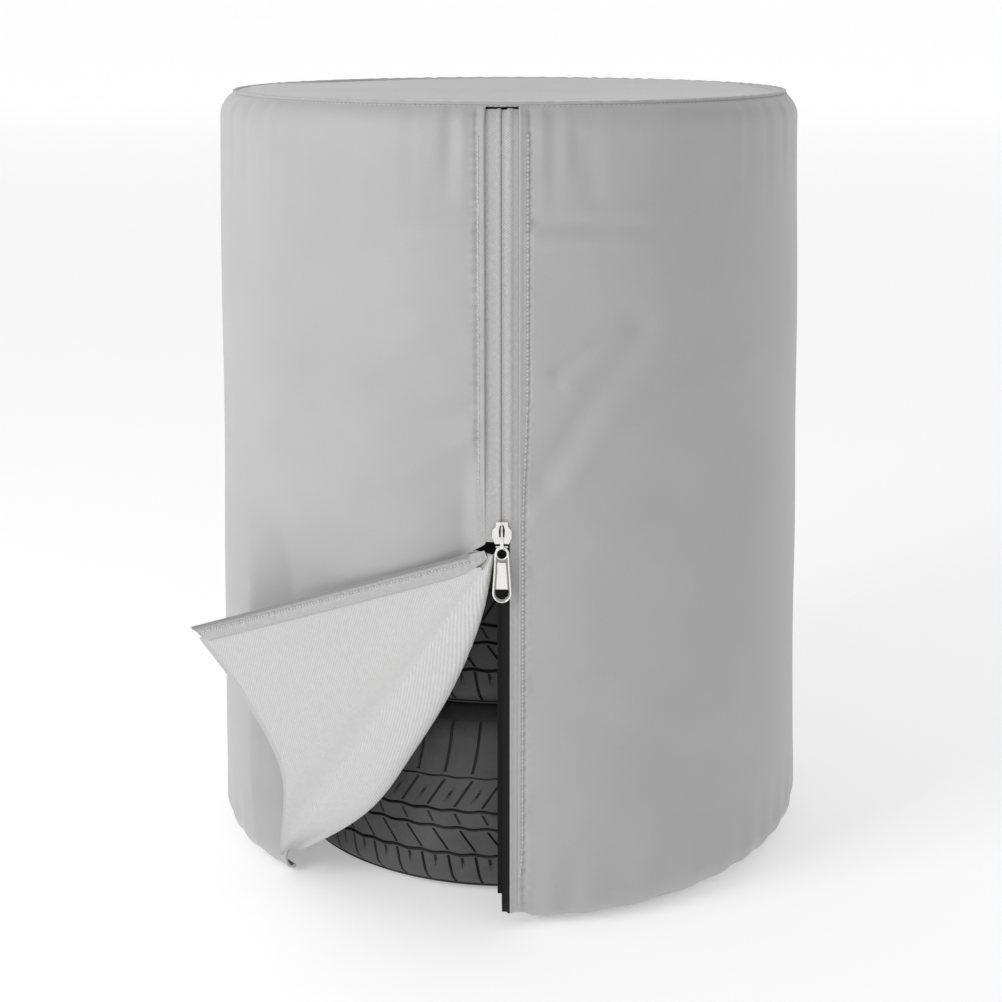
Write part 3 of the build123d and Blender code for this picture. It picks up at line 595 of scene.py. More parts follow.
# the top seam: both edges turned up into a welt that puckers between its stitches
welt = []
for turn_deg, proud in ((62.2, -0.0022), (62.0, 0.0012), (62.6, 0.0028), (64.4, 0.0036),
                        (66.6, 0.0034), (68.2, 0.0022), (68.6, -0.0004), (68.0, -0.0024)):
    ring = shoulder_ring(math.radians(turn_deg), proud)
    shift = 0.0010 * ripples * uneven * (1.0 if proud > 0 else 0.2)
    ring[:, 2] += shift
    ring[:, :2] *= (1.0 + 0.6 * shift / SHOULDER_R)[:, None]
    welt.append(ring)
welt_points = np.stack(welt)
count = len(around)
welt_uv = np.stack([np.tile(around * SHOULDER_R, len(welt)),
                    np.repeat(np.arange(len(welt)) * 0.0015, count)], 1)
seam_welt = mesh_object("seam_welt", welt_points.reshape(-1, 3), ring_faces(len(welt), count),
                        [outer_cloth], None, welt_uv)
fit(seam_welt, "cover", "cover_cloth", "top_seam")
outline = shoulder_ring(math.radians(59.5), 0.0)
outline = np.concatenate([outline, outline[:1]])
up_normal = around_axis(0.5, np.append(around, 0), 0.87)
seam_row = stitches("seam_stitches", outline, up_normal, thread_cloth, pitch=0.0062,
                    length=0.0046, width=0.0006)
fit(seam_row, "cover", "binding")

# ---- hem elastic and back seam ----
hem_low, hem_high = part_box("hem_elastic_right")
hem_z = (hem_low.z + hem_high.z) / 2
hem_r = hem_high.x - 0.003
for side, name in ((1, "right"), (-1, "left")):
    first = start_azimuth(FOOT_Z, side) + (0.05 if side > 0 else 0.0)
    turn = np.linspace(float(first), math.pi - 0.003, 260)
    scrunch = 0.0005 * np.sin(120 * turn) + 0.0003 * np.sin(71 * turn)
    line = around_axis(hem_r + scrunch, side * turn, hem_z + scrunch)
    casing = tube(f"hem_casing_{name}", line, 0.0030, binding, sides=10)
    fit(casing, "cover", "binding", f"hem_elastic_{name}")

TAPE_HALF_W = 0.012
inward = CLOTH + 0.0003
across = np.linspace(-TAPE_HALF_W, TAPE_HALF_W, 7)
seam_grid = []
for length in np.linspace(0.004, FULL_LENGTH - 0.004, 150):
    radius, z, slope = wall_profile(length)
    r = radius - inward * math.cos(slope)
    ridge = 0.0004 * (1 - (across / TAPE_HALF_W) ** 2)
    seam_grid.append(np.stack([across, np.sqrt(r * r - across ** 2) - ridge,
                               np.full(7, z - inward * math.sin(slope))], 1))
back_tape = cloth("back_tape", np.stack(seam_grid), [tape_cloth] * 3, thickness=0.0011)
fit(back_tape, "cover", "binding", "back_seam_tape")

# ---- the fold beside the open zip, and the flap ----
def turned(v, axis, degrees):
    """Vector turned about an axis through the origin."""
    angle = math.radians(degrees)
    return (v * math.cos(angle) + np.cross(axis, v) * math.sin(angle)
            + axis * (axis @ v) * (1 - math.cos(angle)))


def fan(bends):
    """Rays of the folded cloth from the slider to the hem."""
    angle = math.radians(HINGE_AZIMUTH)
    r = float(wall_radius(FAN_FOOT_Z))
    ray = unit(np.array([-r * math.sin(angle), -r * math.cos(angle), FAN_FOOT_Z]) - APEX)
    along_wall = np.array([math.cos(angle), -math.sin(angle), 0.0])
    heading = unit(along_wall - ray * (along_wall @ ray))
    rays, headings = [ray], []
    for width, bend in zip(STRIP_WIDTHS, bends):
        heading = turned(heading, ray, bend)
        headings.append(heading)
        spread = math.radians(width)
        next_ray = ray * math.cos(spread) + heading * math.sin(spread)
        heading = heading * math.cos(spread) - ray * math.sin(spread)
        ray = next_ray
        rays.append(ray)
    return rays, headings, heading


rays, headings, last_heading = fan(OPEN_BENDS)
NOSE_SHARES = (0.0, 0.2, 0.4, 0.6, 0.8, 1.0)
NOSE_X = (-0.008, -0.026, -0.061, -0.112, -0.172, -0.272)   # the fold's nose, slider to hem


def nose_x(share):
    """Sideways place of the nose, on a smooth curve through its stations."""
    spline = through(np.stack([NOSE_SHARES, NOSE_X, np.zeros(6)], 1), 24)
    return float(np.interp(share, spline[:, 0], spline[:, 1]))


SPAN = 16


def section(share):
    """The cloth at one share of the way from the slider to the hem: root, nose, hinge, zip edge."""
    z = OPEN_Z - share * (OPEN_Z - ROOT_Z)
    azimuth = float(start_azimuth(z, -1))
    r = float(wall_radius(z)) - float(dent(np.array(azimuth), np.array(z)))
    root = np.array([-r * math.sin(azimuth), -r * math.cos(azimuth), z])
    x = nose_x(share)
    nose_r = 0.3985 - 0.016 * share - 0.012 * math.sin(math.pi * share)
    nose = np.array([x, -math.sqrt(nose_r ** 2 - x ** 2), z - 0.004 * math.sin(math.pi * share)])
    outward = unit(np.array([nose[0], nose[1], 0.0]))
    to_zip = np.array([-outward[1], outward[0], 0.0])
    depth = 0.0095 * share ** 0.6
    front = nose + outward * depth * 0.75 - to_zip * depth * 1.5
    rear = nose - outward * depth - to_zip * depth * 1.3
    ends = [APEX + ray * reach * share for ray, reach in zip(rays, STRIP_REACHES)]
    belly = (front + ends[0]) / 2 + outward * 0.04 * np.linalg.norm(front - ends[0])
    slack = (rear + root) / 2 - outward * 0.02 * np.linalg.norm(rear - root)
    return through([root, slack, rear, nose, front, belly, *ends], SPAN)


HINGE_AT = 6 * SPAN              # where ray 0 falls in a section's samples


def section_rows(low, high, count):
    return [(share, section(share)) for share in np.linspace(low, high, count)]


def reach_of(share, strip):
    """Distance from the slider at a share, at a place counted in strips from the hinge."""
    return share * float(np.interp(strip, range(4), STRIP_REACHES))


def flap_edge(share):
    """Where the cloth's folded zip edge lies, in strips from the hinge."""
    away = math.degrees(math.asin(min(1.0, LIP_X / max(reach_of(share, 3.0), 1e-6))))
    for strip in (2, 1, 0):
        if away < STRIP_WIDTHS[strip]:
            return strip + 1 - away / STRIP_WIDTHS[strip]
        away -= STRIP_WIDTHS[strip]
    return 0.0


def flap_grid(low_share, first, last, columns, rows=96):
    """Part of the flap between two places counted in strips, from low_share of the way out, and
    its normals."""
    grid, along = np.zeros((2, rows, columns, 3))
    for r, (share, curve) in enumerate(section_rows(low_share, 1.0, rows)):
        end = max(min(last, flap_edge(share)), first + 0.004)
        where = HINGE_AT + np.linspace(first, end, columns) * SPAN
        steps = np.arange(len(curve))
        for k in range(3):
            grid[r, :, k] = np.interp(where, steps, curve[:, k])
            along[r, :, k] = (np.interp(where + 1.0, steps, curve[:, k])
                              - np.interp(where - 1.0, steps, curve[:, k]))
    return grid, unit(np.cross(along, np.gradient(grid, axis=0)))


def fan_uv(grid, first_angle):
    """Flat-pattern coordinates of cloth that fans out from the slider, in metres."""
    reach = np.linalg.norm(grid - APEX, axis=2)
    steps = np.linalg.norm(np.diff(grid, axis=1), axis=2) / reach[:, :-1]
    far = len(grid) // 2
    angle = first_angle + np.concatenate([[0.0], np.cumsum(steps[far:].mean(0))])
    return np.stack([reach * np.sin(angle)[None], reach * np.cos(angle)[None]], axis=2)


lining_set = [lining, outer_cloth, binding]


def hem_border(rows):
    return lambda r, c: 2 if r >= rows - 3 else None


def hem_thickness(grid):
    """Cloth that doubles into a rounded border over its last few millimetres."""
    rows, columns = grid.shape[:2]
    from_end = np.linalg.norm(grid - grid[-1][None], axis=2)
    return CLOTH + 0.0014 * smooth(0.0075, 0.0055, from_end) * smooth(-0.002, 0.0022, from_end)


def with_hem_rows(grid, band=0.007):
    """Moves the last two rows of a grid out to the edge of the hem border."""
    last = grid[-1]
    inward = unit(grid[-2] - last)
    grid[-3] = last + inward * band
    grid[-2] = last + inward * band * 0.5
    return grid


def add_flap_piece(name, grid_and_normal, first_angle, replaced):
    """A piece of turned-back cloth, its lining outwards; grid runs along its middle surface."""
    grid, normal = grid_and_normal
    grid = with_hem_rows(grid)
    rows = len(grid)
    made = cloth(name, grid, lining_set, thickness=hem_thickness(grid), lift=CLOTH / 2,
                 border=hem_border(rows), normal=normal, uv=fan_uv(grid, first_angle))
    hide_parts(*replaced)
    return made


fold_rows = section_rows(0.03, 1.0, 110)
fold_grid = np.stack([curve[:HINGE_AT + 1] for _, curve in fold_rows])
fold_steps = np.linalg.norm(np.diff(fold_grid[-20], axis=0), axis=1).sum()
fold_angle = -fold_steps / float(np.linalg.norm(fold_grid[-20, -1] - APEX))
folded = add_flap_piece("folded_cloth", (fold_grid, grid_normals(fold_grid)), fold_angle,
                        ["fold_back_layer", "fold_front_layer", "fold_nose"])
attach(folded, "cover")

strip_starts = np.radians(np.concatenate([[0.0], np.cumsum(STRIP_WIDTHS)]))


def strip_angle(strip):
    return float(np.interp(strip, range(4), strip_starts))


piece_1 = add_flap_piece("flap_cloth_1", flap_grid(0.066, 0.0, 0.5, 14), 0.0,
                         ["flap_panel_1", "flap_hem_tape_1"])
piece_2 = add_flap_piece("flap_cloth_2", flap_grid(0.080, 0.5, 1.5, 22), strip_angle(0.5),
                         ["flap_panel_2", "flap_hem_tape_2"])
piece_3 = add_flap_piece("flap_cloth_3", flap_grid(0.125, 1.5, 2.5, 24), strip_angle(1.5),
                         ["flap_panel_3", "flap_hem_tape_3"])
piece_4 = add_flap_piece("flap_cloth_4", flap_grid(0.345, 2.5, 3.0, 16), strip_angle(2.5),
                         ["flap_panel_3"])
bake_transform(piece_1)
for piece, ray, parent, child, heading in ((piece_2, rays[1], "flap_1", "flap_2", headings[1]),
                                           (piece_3, rays[2], "flap_2", "flap_3", headings[2])):
    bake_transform(piece)
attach(piece_4, "flap_3")

# the flap's half of the zip, sewn along its edge
edge_across = -last_heading
edge_normal = unit(np.cross(edge_across, rays[3]))
face_probe = flap_grid(0.5, 2.5, 3.0, 4, rows=4)[1][2, 2]
if edge_normal @ face_probe < 0:
    edge_normal = -edge_normal


def on_flap_edge(reach, inset, lift):
    """Point near the flap's zip edge: distance from the slider, in from ray 3, off the lining."""
    return APEX + rays[3] * reach + edge_across * inset + edge_normal * lift


STITCH_AT = 0.0105               # stitch row, in from the flap's zip edge
tape_rows = np.arange(0.024, 0.4605, 0.0022)
tape_columns = np.linspace(0.0, 1.0, 14)
flap_tape_grid = np.zeros((len(tape_rows), len(tape_columns), 3))
for r, reach in enumerate(tape_rows):
    beat = math.sin(2 * math.pi * reach / 0.0105 + 1.7 * math.sin(reach * 41.0))
    wide = 0.0245 * float(smooth(0.0, 0.075, reach)) ** 0.5
    for c, share in enumerate(tape_columns):
        inset = 0.0012 + (wide - 0.0012) * share
        at_hem = max(0.0, reach - (STRIP_REACHES[3] - 0.7 * inset))
        pucker = 0.0006 * beat * math.exp(-((inset - STITCH_AT) / 0.006) ** 2)
        groove = -0.0008 * math.exp(-((inset - STITCH_AT) / 0.002) ** 2)
        flap_tape_grid[r, c] = on_flap_edge(reach - at_hem * 0.97, inset, 0.0030 + pucker + groove)
flap_tape = cloth("flap_zip_band", flap_tape_grid[:, ::-1], [tape_cloth] * 3, thickness=0.0011)
fit(flap_tape, "flap_3", "zip_tape", "flap_zip_tape")
row_line = np.stack([on_flap_edge(reach, STITCH_AT, 0.0028) for reach in tape_rows[11:-6]])
flap_row = stitches("flap_zip_stitches", row_line, np.tile(edge_normal, (len(row_line), 1)),
                    thread_cloth, width=0.0010)
fit(flap_row, "flap_3", "binding")


def coil(name, start, along, across, out, length, side):
    """Nylon zip coil: a flattened helix of monofilament beside the zip's middle."""
    pitch, per_turn = 0.0021, 9
    turns = int(length / pitch)
    angle = np.arange(turns * per_turn) / per_turn * 2 * math.pi
    distance = angle / (2 * math.pi) * pitch
    reach = side * (0.0021 + 0.0023 * np.cos(angle + (0.0 if side > 0 else math.pi)))
    height = 0.0009 * np.sin(angle)
    line = (np.asarray(start) + np.outer(distance, along) + np.outer(reach, across)
            + np.outer(height, out))
    return tube(name, line, 0.00042, coil_plastic, sides=5)


flap_coil = coil("flap_zip_teeth", on_flap_edge(0.046, 0.0, 0.0046), rays[3], edge_across,
                 edge_normal, 0.412, 1)
fit(flap_coil, "flap_3", "zip_coil", "flap_zip_coil")

# ---- zip on the cover ----
def zip_strip(name, section_points, lengths, materials, thickness, border=None):
    """Strip that follows the front wall; section_points are (x, depth behind the wall)."""
    grid = np.zeros((len(lengths), len(section_points), 3))
    for r, length in enumerate(lengths):
        radius, z, slope = wall_profile(length)
        for c, (x, deep) in enumerate(section_points):
            reach = radius - deep * math.cos(slope)
            grid[r, c] = (x, -math.sqrt(reach * reach - x * x), z - deep * math.sin(slope))
    return cloth(name, grid, materials, thickness=thickness, border=border)


def length_at(z):
    return FOOT_LENGTH + (z - FOOT_Z) / (SHOULDER_Z - FOOT_Z) * WALL_LENGTH


upper = np.concatenate([np.linspace(length_at(0.507), length_at(SHOULDER_Z), 150, endpoint=False),
                        np.linspace(length_at(SHOULDER_Z), FULL_LENGTH - 0.003, 14)])
whole = np.concatenate([np.linspace(0.012, FOOT_LENGTH, 8, endpoint=False),
                        np.linspace(FOOT_LENGTH, length_at(SHOULDER_Z), 260, endpoint=False),
                        np.linspace(length_at(SHOULDER_Z), FULL_LENGTH - 0.003, 14)])
left_section = [(-0.0300, 0.0033), (-0.0200, 0.0033), (-0.0120, 0.0030), (-0.0062, 0.0031),
                (-0.0054, 0.0027), (-0.0044, 0.0021), (-0.0026, 0.0020), (-0.0014, 0.0026),
                (-0.0009, 0.0036)]
right_section = [(-0.0006, 0.0040), (0.0030, 0.0039), (0.0052, 0.0037), (0.0060, 0.0027),
                 (0.0072, 0.0020), (0.0095, 0.0018), (0.0118, 0.0021), (0.0130, 0.0029),
                 (0.0150, 0.0031), (0.0200, 0.0033), (0.0300, 0.0033)]
tape_left = zip_strip("tape_left", left_section, upper, [tape_cloth] * 3, 0.0012)


def open_edge(row, column):
    """Below the slider the free edge of the right-hand tape takes the near-black cloth, painted
    shadow of the gap behind the zip.
    """
    return 2 if column < 5 and whole[row] < length_at(OPEN_Z - 0.002) else None


# the right-hand tape's cut edges, and its edge below the slider, take the near-black cloth as
# painted shadow
tape_right = zip_strip("tape_right", right_section, whole, [tape_cloth, tape_cloth, gap_shadow_cloth],
                       0.0010, border=open_edge)
for piece, node, size in ((tape_left, "zip_tape_left", 0.50), (tape_right, "zip_tape_right", 1.02)):
    fit(piece, "cover", "zip_tape", node)

# a strip behind the right-hand tape below the slider, in near-black cloth: painted shadow filling
# the gap between the tyres and the zip
shadow_strip_rows = np.linspace(length_at(0.047), length_at(OPEN_Z), 120)
shadow_strip_across = np.linspace(-0.006, 0.026, 15)
shadow_strip_points = [(x, 0.0100 - 0.0003 * (k % 2)) for k, x in enumerate(shadow_strip_across)]
shadow_strip_points += [(0.0285, 0.0085), (0.0295, 0.0060)]
guard = zip_strip("painted_gap_shadow", shadow_strip_points, shadow_strip_rows, [gap_shadow_cloth] * 3, 0.0012)
fit(guard, "cover", "guard", "zip_guard")

for side, name, low in ((-1, "left", 0.530), (1, "right", 0.062)):
    reach = float(wall_radius(low)) - 0.0056
    start = np.array([0.0, -reach, low])
    made = coil(f"teeth_{name}", start, ZIP_UP, np.array([1.0, 0.0, 0.0]), ZIP_OUT,
                0.973 - low, side)
    fit(made, "cover", "zip_coil", f"zip_coil_{name}")

for side, name, low, grid in ((-1, "left", OPEN_Z + 0.006, wall_grids["left"][:, ::-1]),
                              (1, "right", 0.055, wall_grids["right"])):
    rows = [r for r, length in enumerate(wall_rows)
            if low < wall_profile(length)[1] < 0.999]
    line, normal = [], []
    for r in rows:
        inset = float(stitch_inset(wall_profile(wall_rows[r])[1], side))
        run = np.concatenate([[0.0], np.cumsum(np.linalg.norm(np.diff(grid[r], axis=0), axis=1))])
        at = [np.interp(inset, run, grid[r][:, k]) for k in range(3)]
        line.append(at)
        normal.append(unit(np.array([at[0], at[1], 0.03])))
    made = stitches(f"zip_row_{name}", line, normal, thread_cloth, pitch=0.0052,
                    length=0.0042, width=0.0011)
    fit(made, "cover", "binding")


# ---- slider, pull tab and zip stops ----
def flat_plate(name, outlines, low, high, bevel, material):
    """Plate in the zip's plane with rounded edges; the first outline is its rim, the rest holes."""
    curve = bpy.data.curves.new(name, "CURVE")
    curve.dimensions = "2D"
    curve.fill_mode = "BOTH"
    curve.extrude = (high - low) / 2 - bevel
    curve.bevel_depth = bevel
    curve.bevel_resolution = 3
    curve.offset = -bevel
    for outline in outlines:
        spline = curve.splines.new("POLY")
        spline.points.add(len(outline) - 1)
        for point, (x, y) in zip(spline.points, outline):
            point.co = (x, y, 0.0, 1.0)
        spline.use_cyclic_u = True
    holder = bpy.data.objects.new(name, curve)
    bpy.context.scene.collection.objects.link(holder)
    mesh = bpy.data.meshes.new_from_object(holder)
    bpy.data.objects.remove(holder)
    turn = Matrix(((1.0, ZIP_UP[0], ZIP_OUT[0]), (0.0, ZIP_UP[1], ZIP_OUT[1]),
                   (0.0, ZIP_UP[2], ZIP_OUT[2]))).to_4x4()
    mesh.transform(Matrix.Translation((0, 0, (low + high) / 2)))
    mesh.transform(Matrix.Translation(Vector(APEX)) @ turn)
    mesh.materials.clear()
    mesh.materials.append(material)
    made = bpy.data.objects.new(name, mesh)
    bpy.context.scene.collection.objects.link(made)
    for polygon in mesh.polygons:
        polygon.use_smooth = True
    made.modifiers.new("edges", "EDGE_SPLIT").split_angle = math.radians(50)
    return made


def arc(cx, cy, radius, start, end, count=14):
    """Points round part of a circle, in degrees."""
    return [(cx + radius * math.cos(math.radians(a)), cy + radius * math.sin(math.radians(a)))
            for a in np.linspace(start, end, count)]


def join(name, pieces):
    """One object from several."""
    bpy.ops.object.select_all(action="DESELECT")
    for piece in pieces:
        piece.select_set(True)
    bpy.context.view_layer.objects.active = pieces[0]
    for piece in pieces:
        for modifier in list(piece.modifiers):
            with bpy.context.temp_override(object=piece, active_object=piece):
                bpy.ops.object.modifier_apply(modifier=modifier.name)
    bpy.ops.object.join()
    pieces[0].name = name
    pieces[0].data.name = name
    return pieces[0]


slider_outline = ([(-0.0085, 0.0003), (0.0085, 0.0003)] + arc(0.0095, 0.0085, 0.0024, -60, 20, 6)
                  + [(0.0117, 0.0150)] + arc(0.0085, 0.0165, 0.0030, 10, 60, 5)
                  + [(0.0078, 0.0215), (0.0074, 0.0262)] + arc(0.0058, 0.0264, 0.0015, 10, 90, 5))
slider_outline += [(-x, y) for x, y in reversed(slider_outline[2:])]
front_plate = flat_plate("front_plate", [slider_outline], -0.0012, 0.0007, 0.0005, nickel)
rear_plate = flat_plate("rear_plate", [slider_outline], -0.0090, -0.0075, 0.0004, nickel)
post = flat_plate("post", [[(-0.0007, 0.014), (0.0007, 0.014), (0.0007, 0.026), (-0.0007, 0.026)]],
                  -0.0080, -0.0008, 0.0002, nickel)
# a thin near-black plate on the slider's face: painted shade where its recess is
painted_recess_shade = flat_plate("painted_recess_shade", [[(-0.0034, 0.0090), (0.0030, 0.0090), (0.0036, 0.0180),
                                (0.0020, 0.0240), (-0.0026, 0.0235), (-0.0038, 0.0170)]],
                    0.0002, 0.0010, 0.0002, recess_shade_metal)
slider = join("slider_shell", [front_plate, rear_plate, post, painted_recess_shade])
fit(slider, "slider", "zip_metal", "slider_body")


def zip_place(x, up, out):
    return APEX + np.array([x, 0.0, 0.0]) + ZIP_UP * up + ZIP_OUT * out


strap_line = through([(0.0, 0.0252, 0.0006), (0.0, 0.0240, 0.0034), (0.0, 0.0200, 0.0056),
                      (0.0, 0.0100, 0.0066), (0.0, 0.0010, 0.0066), (0.0, -0.0042, 0.0060),
                      (0.0, -0.0052, 0.0036), (0.0, -0.0046, 0.0016)], 6)
strap_grid = []
for x, up, out in strap_line:
    half_width = 0.0012 + 0.0009 * float(smooth(0.014, 0.002, up))
    strap_grid.append([zip_place(side * half_width, up, out) for side in (-1, -0.5, 0, 0.5, 1)])
strap = cloth("slider_strap", np.array(strap_grid)[:, ::-1], [nickel] * 3, thickness=0.0012)
bevel = strap.modifiers.new("round", "BEVEL")
bevel.width = 0.0004
bevel.segments = 2
fit(strap, "slider", "zip_metal", "slider_bridge")

# pull tab: an eye at the top, a raised field, and an opening above its rounded foot
PIVOT_UP, PIVOT_OUT = -0.002, 0.004
tab_outline = (arc(0.0, PIVOT_UP - 0.0085, 0.0085, 180, 0, 18) + [(0.0096, PIVOT_UP - 0.030)]
               + [(0.0117, PIVOT_UP - 0.0560)] + arc(0.0, PIVOT_UP - 0.0582, 0.0117, 0, -180, 24)
               + [(-0.0117, PIVOT_UP - 0.0560), (-0.0096, PIVOT_UP - 0.030)])
EYE_UP = PIVOT_UP - 0.0090
eye = arc(0.0, EYE_UP, 0.0060, 0, 360, 25)[:-1]
foot_hole = ([(-0.0082, PIVOT_UP - 0.0535), (0.0082, PIVOT_UP - 0.0535)]
             + arc(0.0, PIVOT_UP - 0.0572, 0.0084, -5, -175, 18))
# the plate takes the darker copy of the plated metal, painted shade round the bright rims and raised
# field
tab_plate = flat_plate("tab_plate", [tab_outline, eye, foot_hole], PIVOT_OUT - 0.0010,
                       PIVOT_OUT + 0.0002, 0.0004, shaded_copy_metal)
rim_line = [zip_place(x * 0.90, up * 0.985 - 0.0004, PIVOT_OUT + 0.0004) for x, up in tab_outline]
tab_rim = tube("tab_rim", rim_line, 0.0012, nickel, sides=10, closed=True)
eye_line = [zip_place(x * 1.13, EYE_UP + (up - EYE_UP) * 1.13, PIVOT_OUT + 0.0005) for x, up in eye]
eye_rim = tube("eye_rim", eye_line, 0.0010, nickel, closed=True)
field = [(-0.0050, PIVOT_UP - 0.0195), (0.0050, PIVOT_UP - 0.0195), (0.0071, PIVOT_UP - 0.0530),
         (-0.0071, PIVOT_UP - 0.0530)]
tab_field = flat_plate("tab_field", [field], PIVOT_OUT + 0.0002, PIVOT_OUT + 0.0014, 0.0005, nickel)
pivot_line = [zip_place(x, PIVOT_UP, PIVOT_OUT) for x in np.linspace(-0.0075, 0.0075, 9)]
pivot_bar = tube("pivot_bar", pivot_line, 0.0011, nickel, sides=10)
tab = join("pull_tab_shell", [tab_plate, tab_rim, eye_rim, tab_field, pivot_bar])
fit(tab, "pull", "zip_metal", "pull_tab")

for node in ("zip_stop_top", "zip_box_bottom"):
    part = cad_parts[node]
    part.data.materials.clear()
    part.data.materials.append(nickel)


# ---- tyres ----
TYRE_LOW, TYRE_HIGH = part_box("tyre_1")
TYRE_R = TYRE_HIGH.x
TYRE_H = TYRE_HIGH.z - TYRE_LOW.z
PITCHES = 54
GROOVES = ((0.057, 0.0040), (0.094, 0.0034), (0.118, 0.0034), (0.165, 0.0018))
# zones of slots: from, to, sideways shift at each end in pitches, depth
ZONES = ((0.012, 0.053, 0.20, 0.00, 0.0050), (0.061, 0.089, 0.00, -0.55, 0.0050),
         (0.099, 0.113, -0.55, -0.75, 0.0014), (0.123, 0.160, -0.75, -0.10, 0.0030),
         (0.171, 0.240, -0.10, 0.18, 0.0026))
# lower bead and sidewall as (radius, height), from inside the bead out to the shoulder
SIDEWALL = ((0.232, 0.040), (0.2159, 0.044), (0.2159, 0.024), (0.221, 0.0165), (0.229, 0.0100),
            (0.236, 0.0070), (0.246, 0.0034), (0.254, 0.0010), (0.262, 0.0002), (0.273, 0.0002),
            (0.284, 0.0002), (0.292, 0.0022), (0.2985, 0.0056), (0.3035, 0.0088))
# lower half of the liner, from the bead out to under the tread
LINER = ((0.243, 0.022), (0.262, 0.014), (0.280, 0.014), (0.297, 0.024), (0.303, 0.048))


def shoulder_radius(z):
    """Outside radius of the tread and shoulders at a height on the tyre."""
    from_end = min(z, TYRE_H - z)
    share = np.clip((0.0365 - from_end) / 0.0365, 0.0, 1.0)
    crown = 0.0018 * ((z - TYRE_H / 2) / (TYRE_H / 2)) ** 2
    return TYRE_R - crown - 0.034 * share ** 2.6


edges = [0.0095, 0.0115]
for low, high, _, _, _ in ZONES:
    edges += [low - 0.0006, low + 0.0006, high - 0.0006, high + 0.0006]
    edges += list(np.linspace(low + 0.0006, high - 0.0006, 6)[1:-1])
for middle, width in GROOVES:
    edges += [middle - width / 2 - 0.0004, middle - width / 2 + 0.0004,
              middle + width / 2 - 0.0004, middle + width / 2 + 0.0004]
edges += [TYRE_H - 0.0115, TYRE_H - 0.0095]
edges = np.array(sorted(edges))
edges = edges[np.concatenate([[True], np.diff(edges) > 0.0003])]
SLOT = 0.045
fractions = np.array([-SLOT - 0.010, -SLOT + 0.010, SLOT - 0.010, SLOT + 0.010, 0.17, 0.30,
                      0.44, 0.46, 0.54, 0.56, 0.70, 0.84])
columns = (np.arange(PITCHES)[:, None] + fractions[None, :]).ravel()
column_share = np.tile(fractions, PITCHES)
knots_z = [0.0] + [z for zone in ZONES for z in zone[:2]] + [TYRE_H]
knots_s = [ZONES[0][2]] + [s for zone in ZONES for s in zone[2:4]] + [ZONES[-1][3]]


def tread_point(z, base):
    """One ring of tread points at a height, cut by the slots and grooves that it meets."""
    shift = float(np.interp(z, knots_z, knots_s))
    bow = 0.05 * math.sin(math.pi * float(np.interp(z, (0.171, 0.240), (0, 1))))
    in_slot = (np.abs(column_share) < SLOT).astype(float)
    in_short = (np.abs(column_share - 0.5) < SLOT).astype(float)
    depth = np.zeros(len(columns))
    for low, high, _, _, deep in ZONES:
        if low < z < high:
            depth = np.maximum(depth, deep * in_slot)
    if 0.044 < z < 0.053 or 0.135 < z < 0.150:
        depth = np.maximum(depth, 0.0026 * in_short)
    for middle, width in GROOVES:
        if abs(z - middle) < width / 2:
            depth = np.full(len(columns), 0.0060 if width > 0.003 else 0.0025)
    angle = (columns + shift + bow) * 2 * math.pi / PITCHES
    wave = 0.0011 * np.sin(2 * math.pi * (columns + 0.3)) * float(smooth(0.03, 0.055, z)) \
        * float(smooth(0.19, 0.15, z))
    radius = shoulder_radius(z) - depth
    return around_axis(radius, angle, base + z + wave)


def tyre_mesh(number):
    """A whole tyre: sidewalls, beads and liner turned, and the tread cut with its pattern."""
    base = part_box(f"tyre_{number}")[0].z
    angle = columns * 2 * math.pi / PITCHES
    rings = []

    def plain(radius, z, shift=0.0):
        return around_axis(radius, angle + shift * 2 * math.pi / PITCHES, base + z)

    first_shift, last_shift = knots_s[0], knots_s[-1]
    for k, (radius, z) in enumerate(SIDEWALL):
        rings.append(plain(radius, z, first_shift * k / len(SIDEWALL)))
    for z in edges:
        rings.append(tread_point(z, base))
    for k, (radius, z) in enumerate(reversed(SIDEWALL)):
        rings.append(plain(radius, TYRE_H - z, last_shift * (1 - k / len(SIDEWALL))))
    for radius, z in LINER:
        rings.append(plain(radius, TYRE_H - z))
    rings.append(plain(LINER[-1][0], TYRE_H / 2))
    for radius, z in reversed(LINER):
        rings.append(plain(radius, z))
    points = np.concatenate(rings)
    count = len(columns)
    tread = slice(len(SIDEWALL) * count, (len(SIDEWALL) + len(edges)) * count)
    # faces cut below the tread surface take the near-black rubber: painted shade in the slots and
    # grooves
    cut = np.zeros(len(points), bool)
    surface = np.repeat([shoulder_radius(z) for z in edges], count)
    cut[tread] = np.hypot(points[tread, 0], points[tread, 1]) < surface - 0.001
    faces = ring_faces(len(rings), count)
    kinds = cut[np.array(faces)].all(axis=1).astype(int)
    made = mesh_object(f"treaded_tyre_{number}", points, faces, [rubber, groove_shade_rubber], kinds)
    made.modifiers.new("edges", "EDGE_SPLIT").split_angle = math.radians(38)
    fit(made, "tyre_stack", "tyre", f"tyre_{number}")


for number in (1, 2, 3, 4):
    tyre_mesh(number)


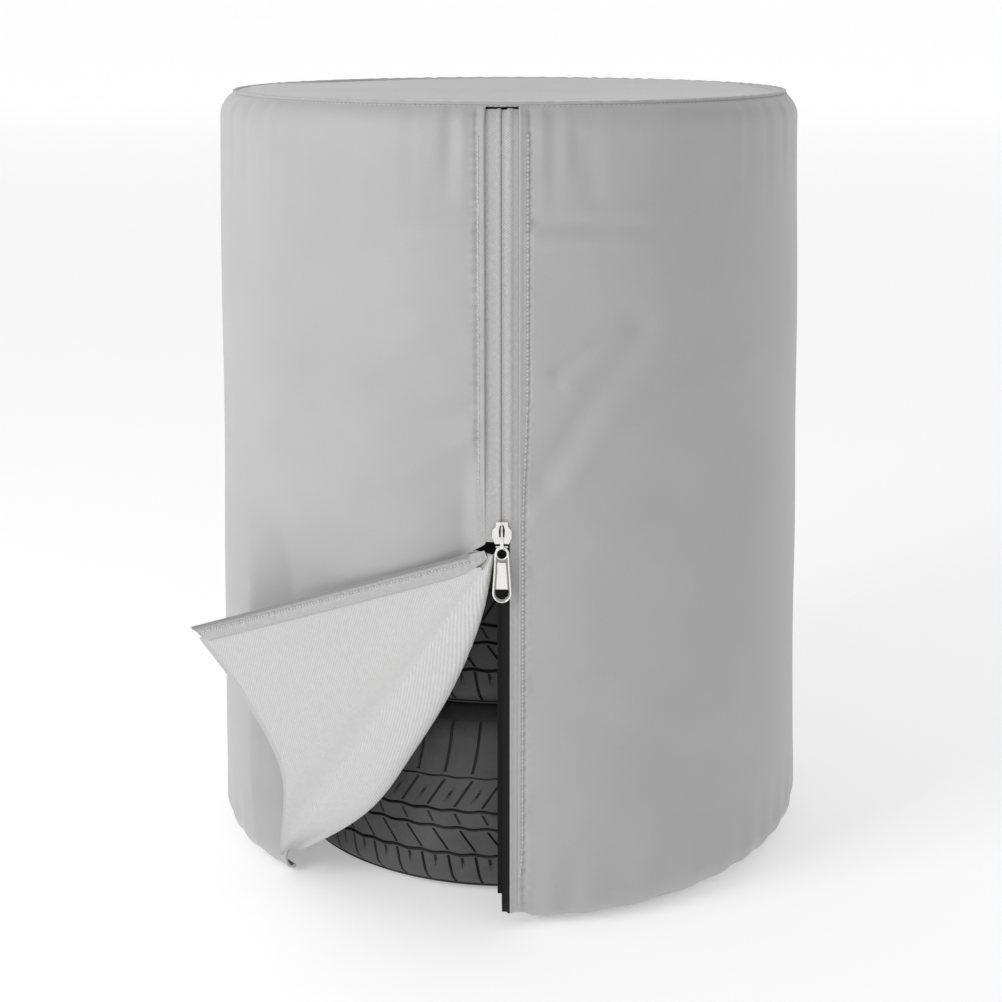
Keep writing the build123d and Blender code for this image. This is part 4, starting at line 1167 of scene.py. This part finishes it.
# ---- floor, light and camera ----
def stage_plane(name, corners, shade, spread, roughness, specular, speckle, glow):
    """Plain rectangle of the surroundings, faintly speckled, with a glow of its own."""
    mesh = bpy.data.meshes.new(name)
    mesh.from_pydata(corners, [], [(0, 1, 2, 3)])
    plane = bpy.data.objects.new(name, mesh)
    bpy.context.scene.collection.objects.link(plane)
    paint, tree, shader = new_material(f"{name}_paint", grey(shade), roughness, specular=specular)
    noise = add_node(tree, "ShaderNodeTexNoise", speckle)
    color_by(tree, shader, noise.outputs["Fac"], (0.3, grey(shade - spread)),
             (0.7, grey(shade + spread)))
    shader.inputs["Emission Color"].default_value = (1.0, 1.0, 1.0, 1.0)
    shader.inputs["Emission Strength"].default_value = glow
    mesh.materials.append(paint)


stage_plane("floor", [(-30, -8, 0), (30, -8, 0), (30, 60, 0), (-30, 60, 0)], 0.86, 0.005, 0.85, 0.1,
            {"Scale": 3.0, "Detail": 4.0}, 0.34)
stage_plane("backdrop", [(-30, 20, -1), (30, 20, -1), (30, 20, 30), (-30, 20, 30)], 0.5, 0.01, 0.9,
            0.5, {"Scale": 1.0}, 0.60)

world = bpy.data.worlds.new("studio")
world.use_nodes = True
world.node_tree.nodes["Background"].inputs["Color"].default_value = (0.90, 0.90, 0.90, 1.0)
world.node_tree.nodes["Background"].inputs["Strength"].default_value = 0.62
bpy.context.scene.world = world
bpy.context.scene.view_settings.view_transform = "Standard"


def soft_light(name, place, aim, size, power):
    """Square area light facing a point."""
    light = bpy.data.lights.new(name, "AREA")
    light.size = size
    light.energy = power
    holder = bpy.data.objects.new(name, light)
    holder.location = place
    holder.rotation_euler = (Vector(aim) - Vector(place)).to_track_quat("-Z", "Y").to_euler()
    bpy.context.scene.collection.objects.link(holder)


soft_light("key", (-2.9, -2.3, 2.3), (0, 0, 0.5), 1.8, 62.0)

camera_data = bpy.data.cameras.new("camera")
camera_data.lens = 67.04
camera_data.sensor_width = 36.0
camera_data.shift_x = -0.0085
camera_data.shift_y = -0.065
camera_data.dof.use_dof = False
camera = bpy.data.objects.new("camera", camera_data)
camera.location = (0.0582, -2.5626, 1.1423)
camera.rotation_euler = (math.radians(76.92), 0.0, math.radians(1.3))
bpy.context.scene.collection.objects.link(camera)
bpy.context.scene.camera = camera
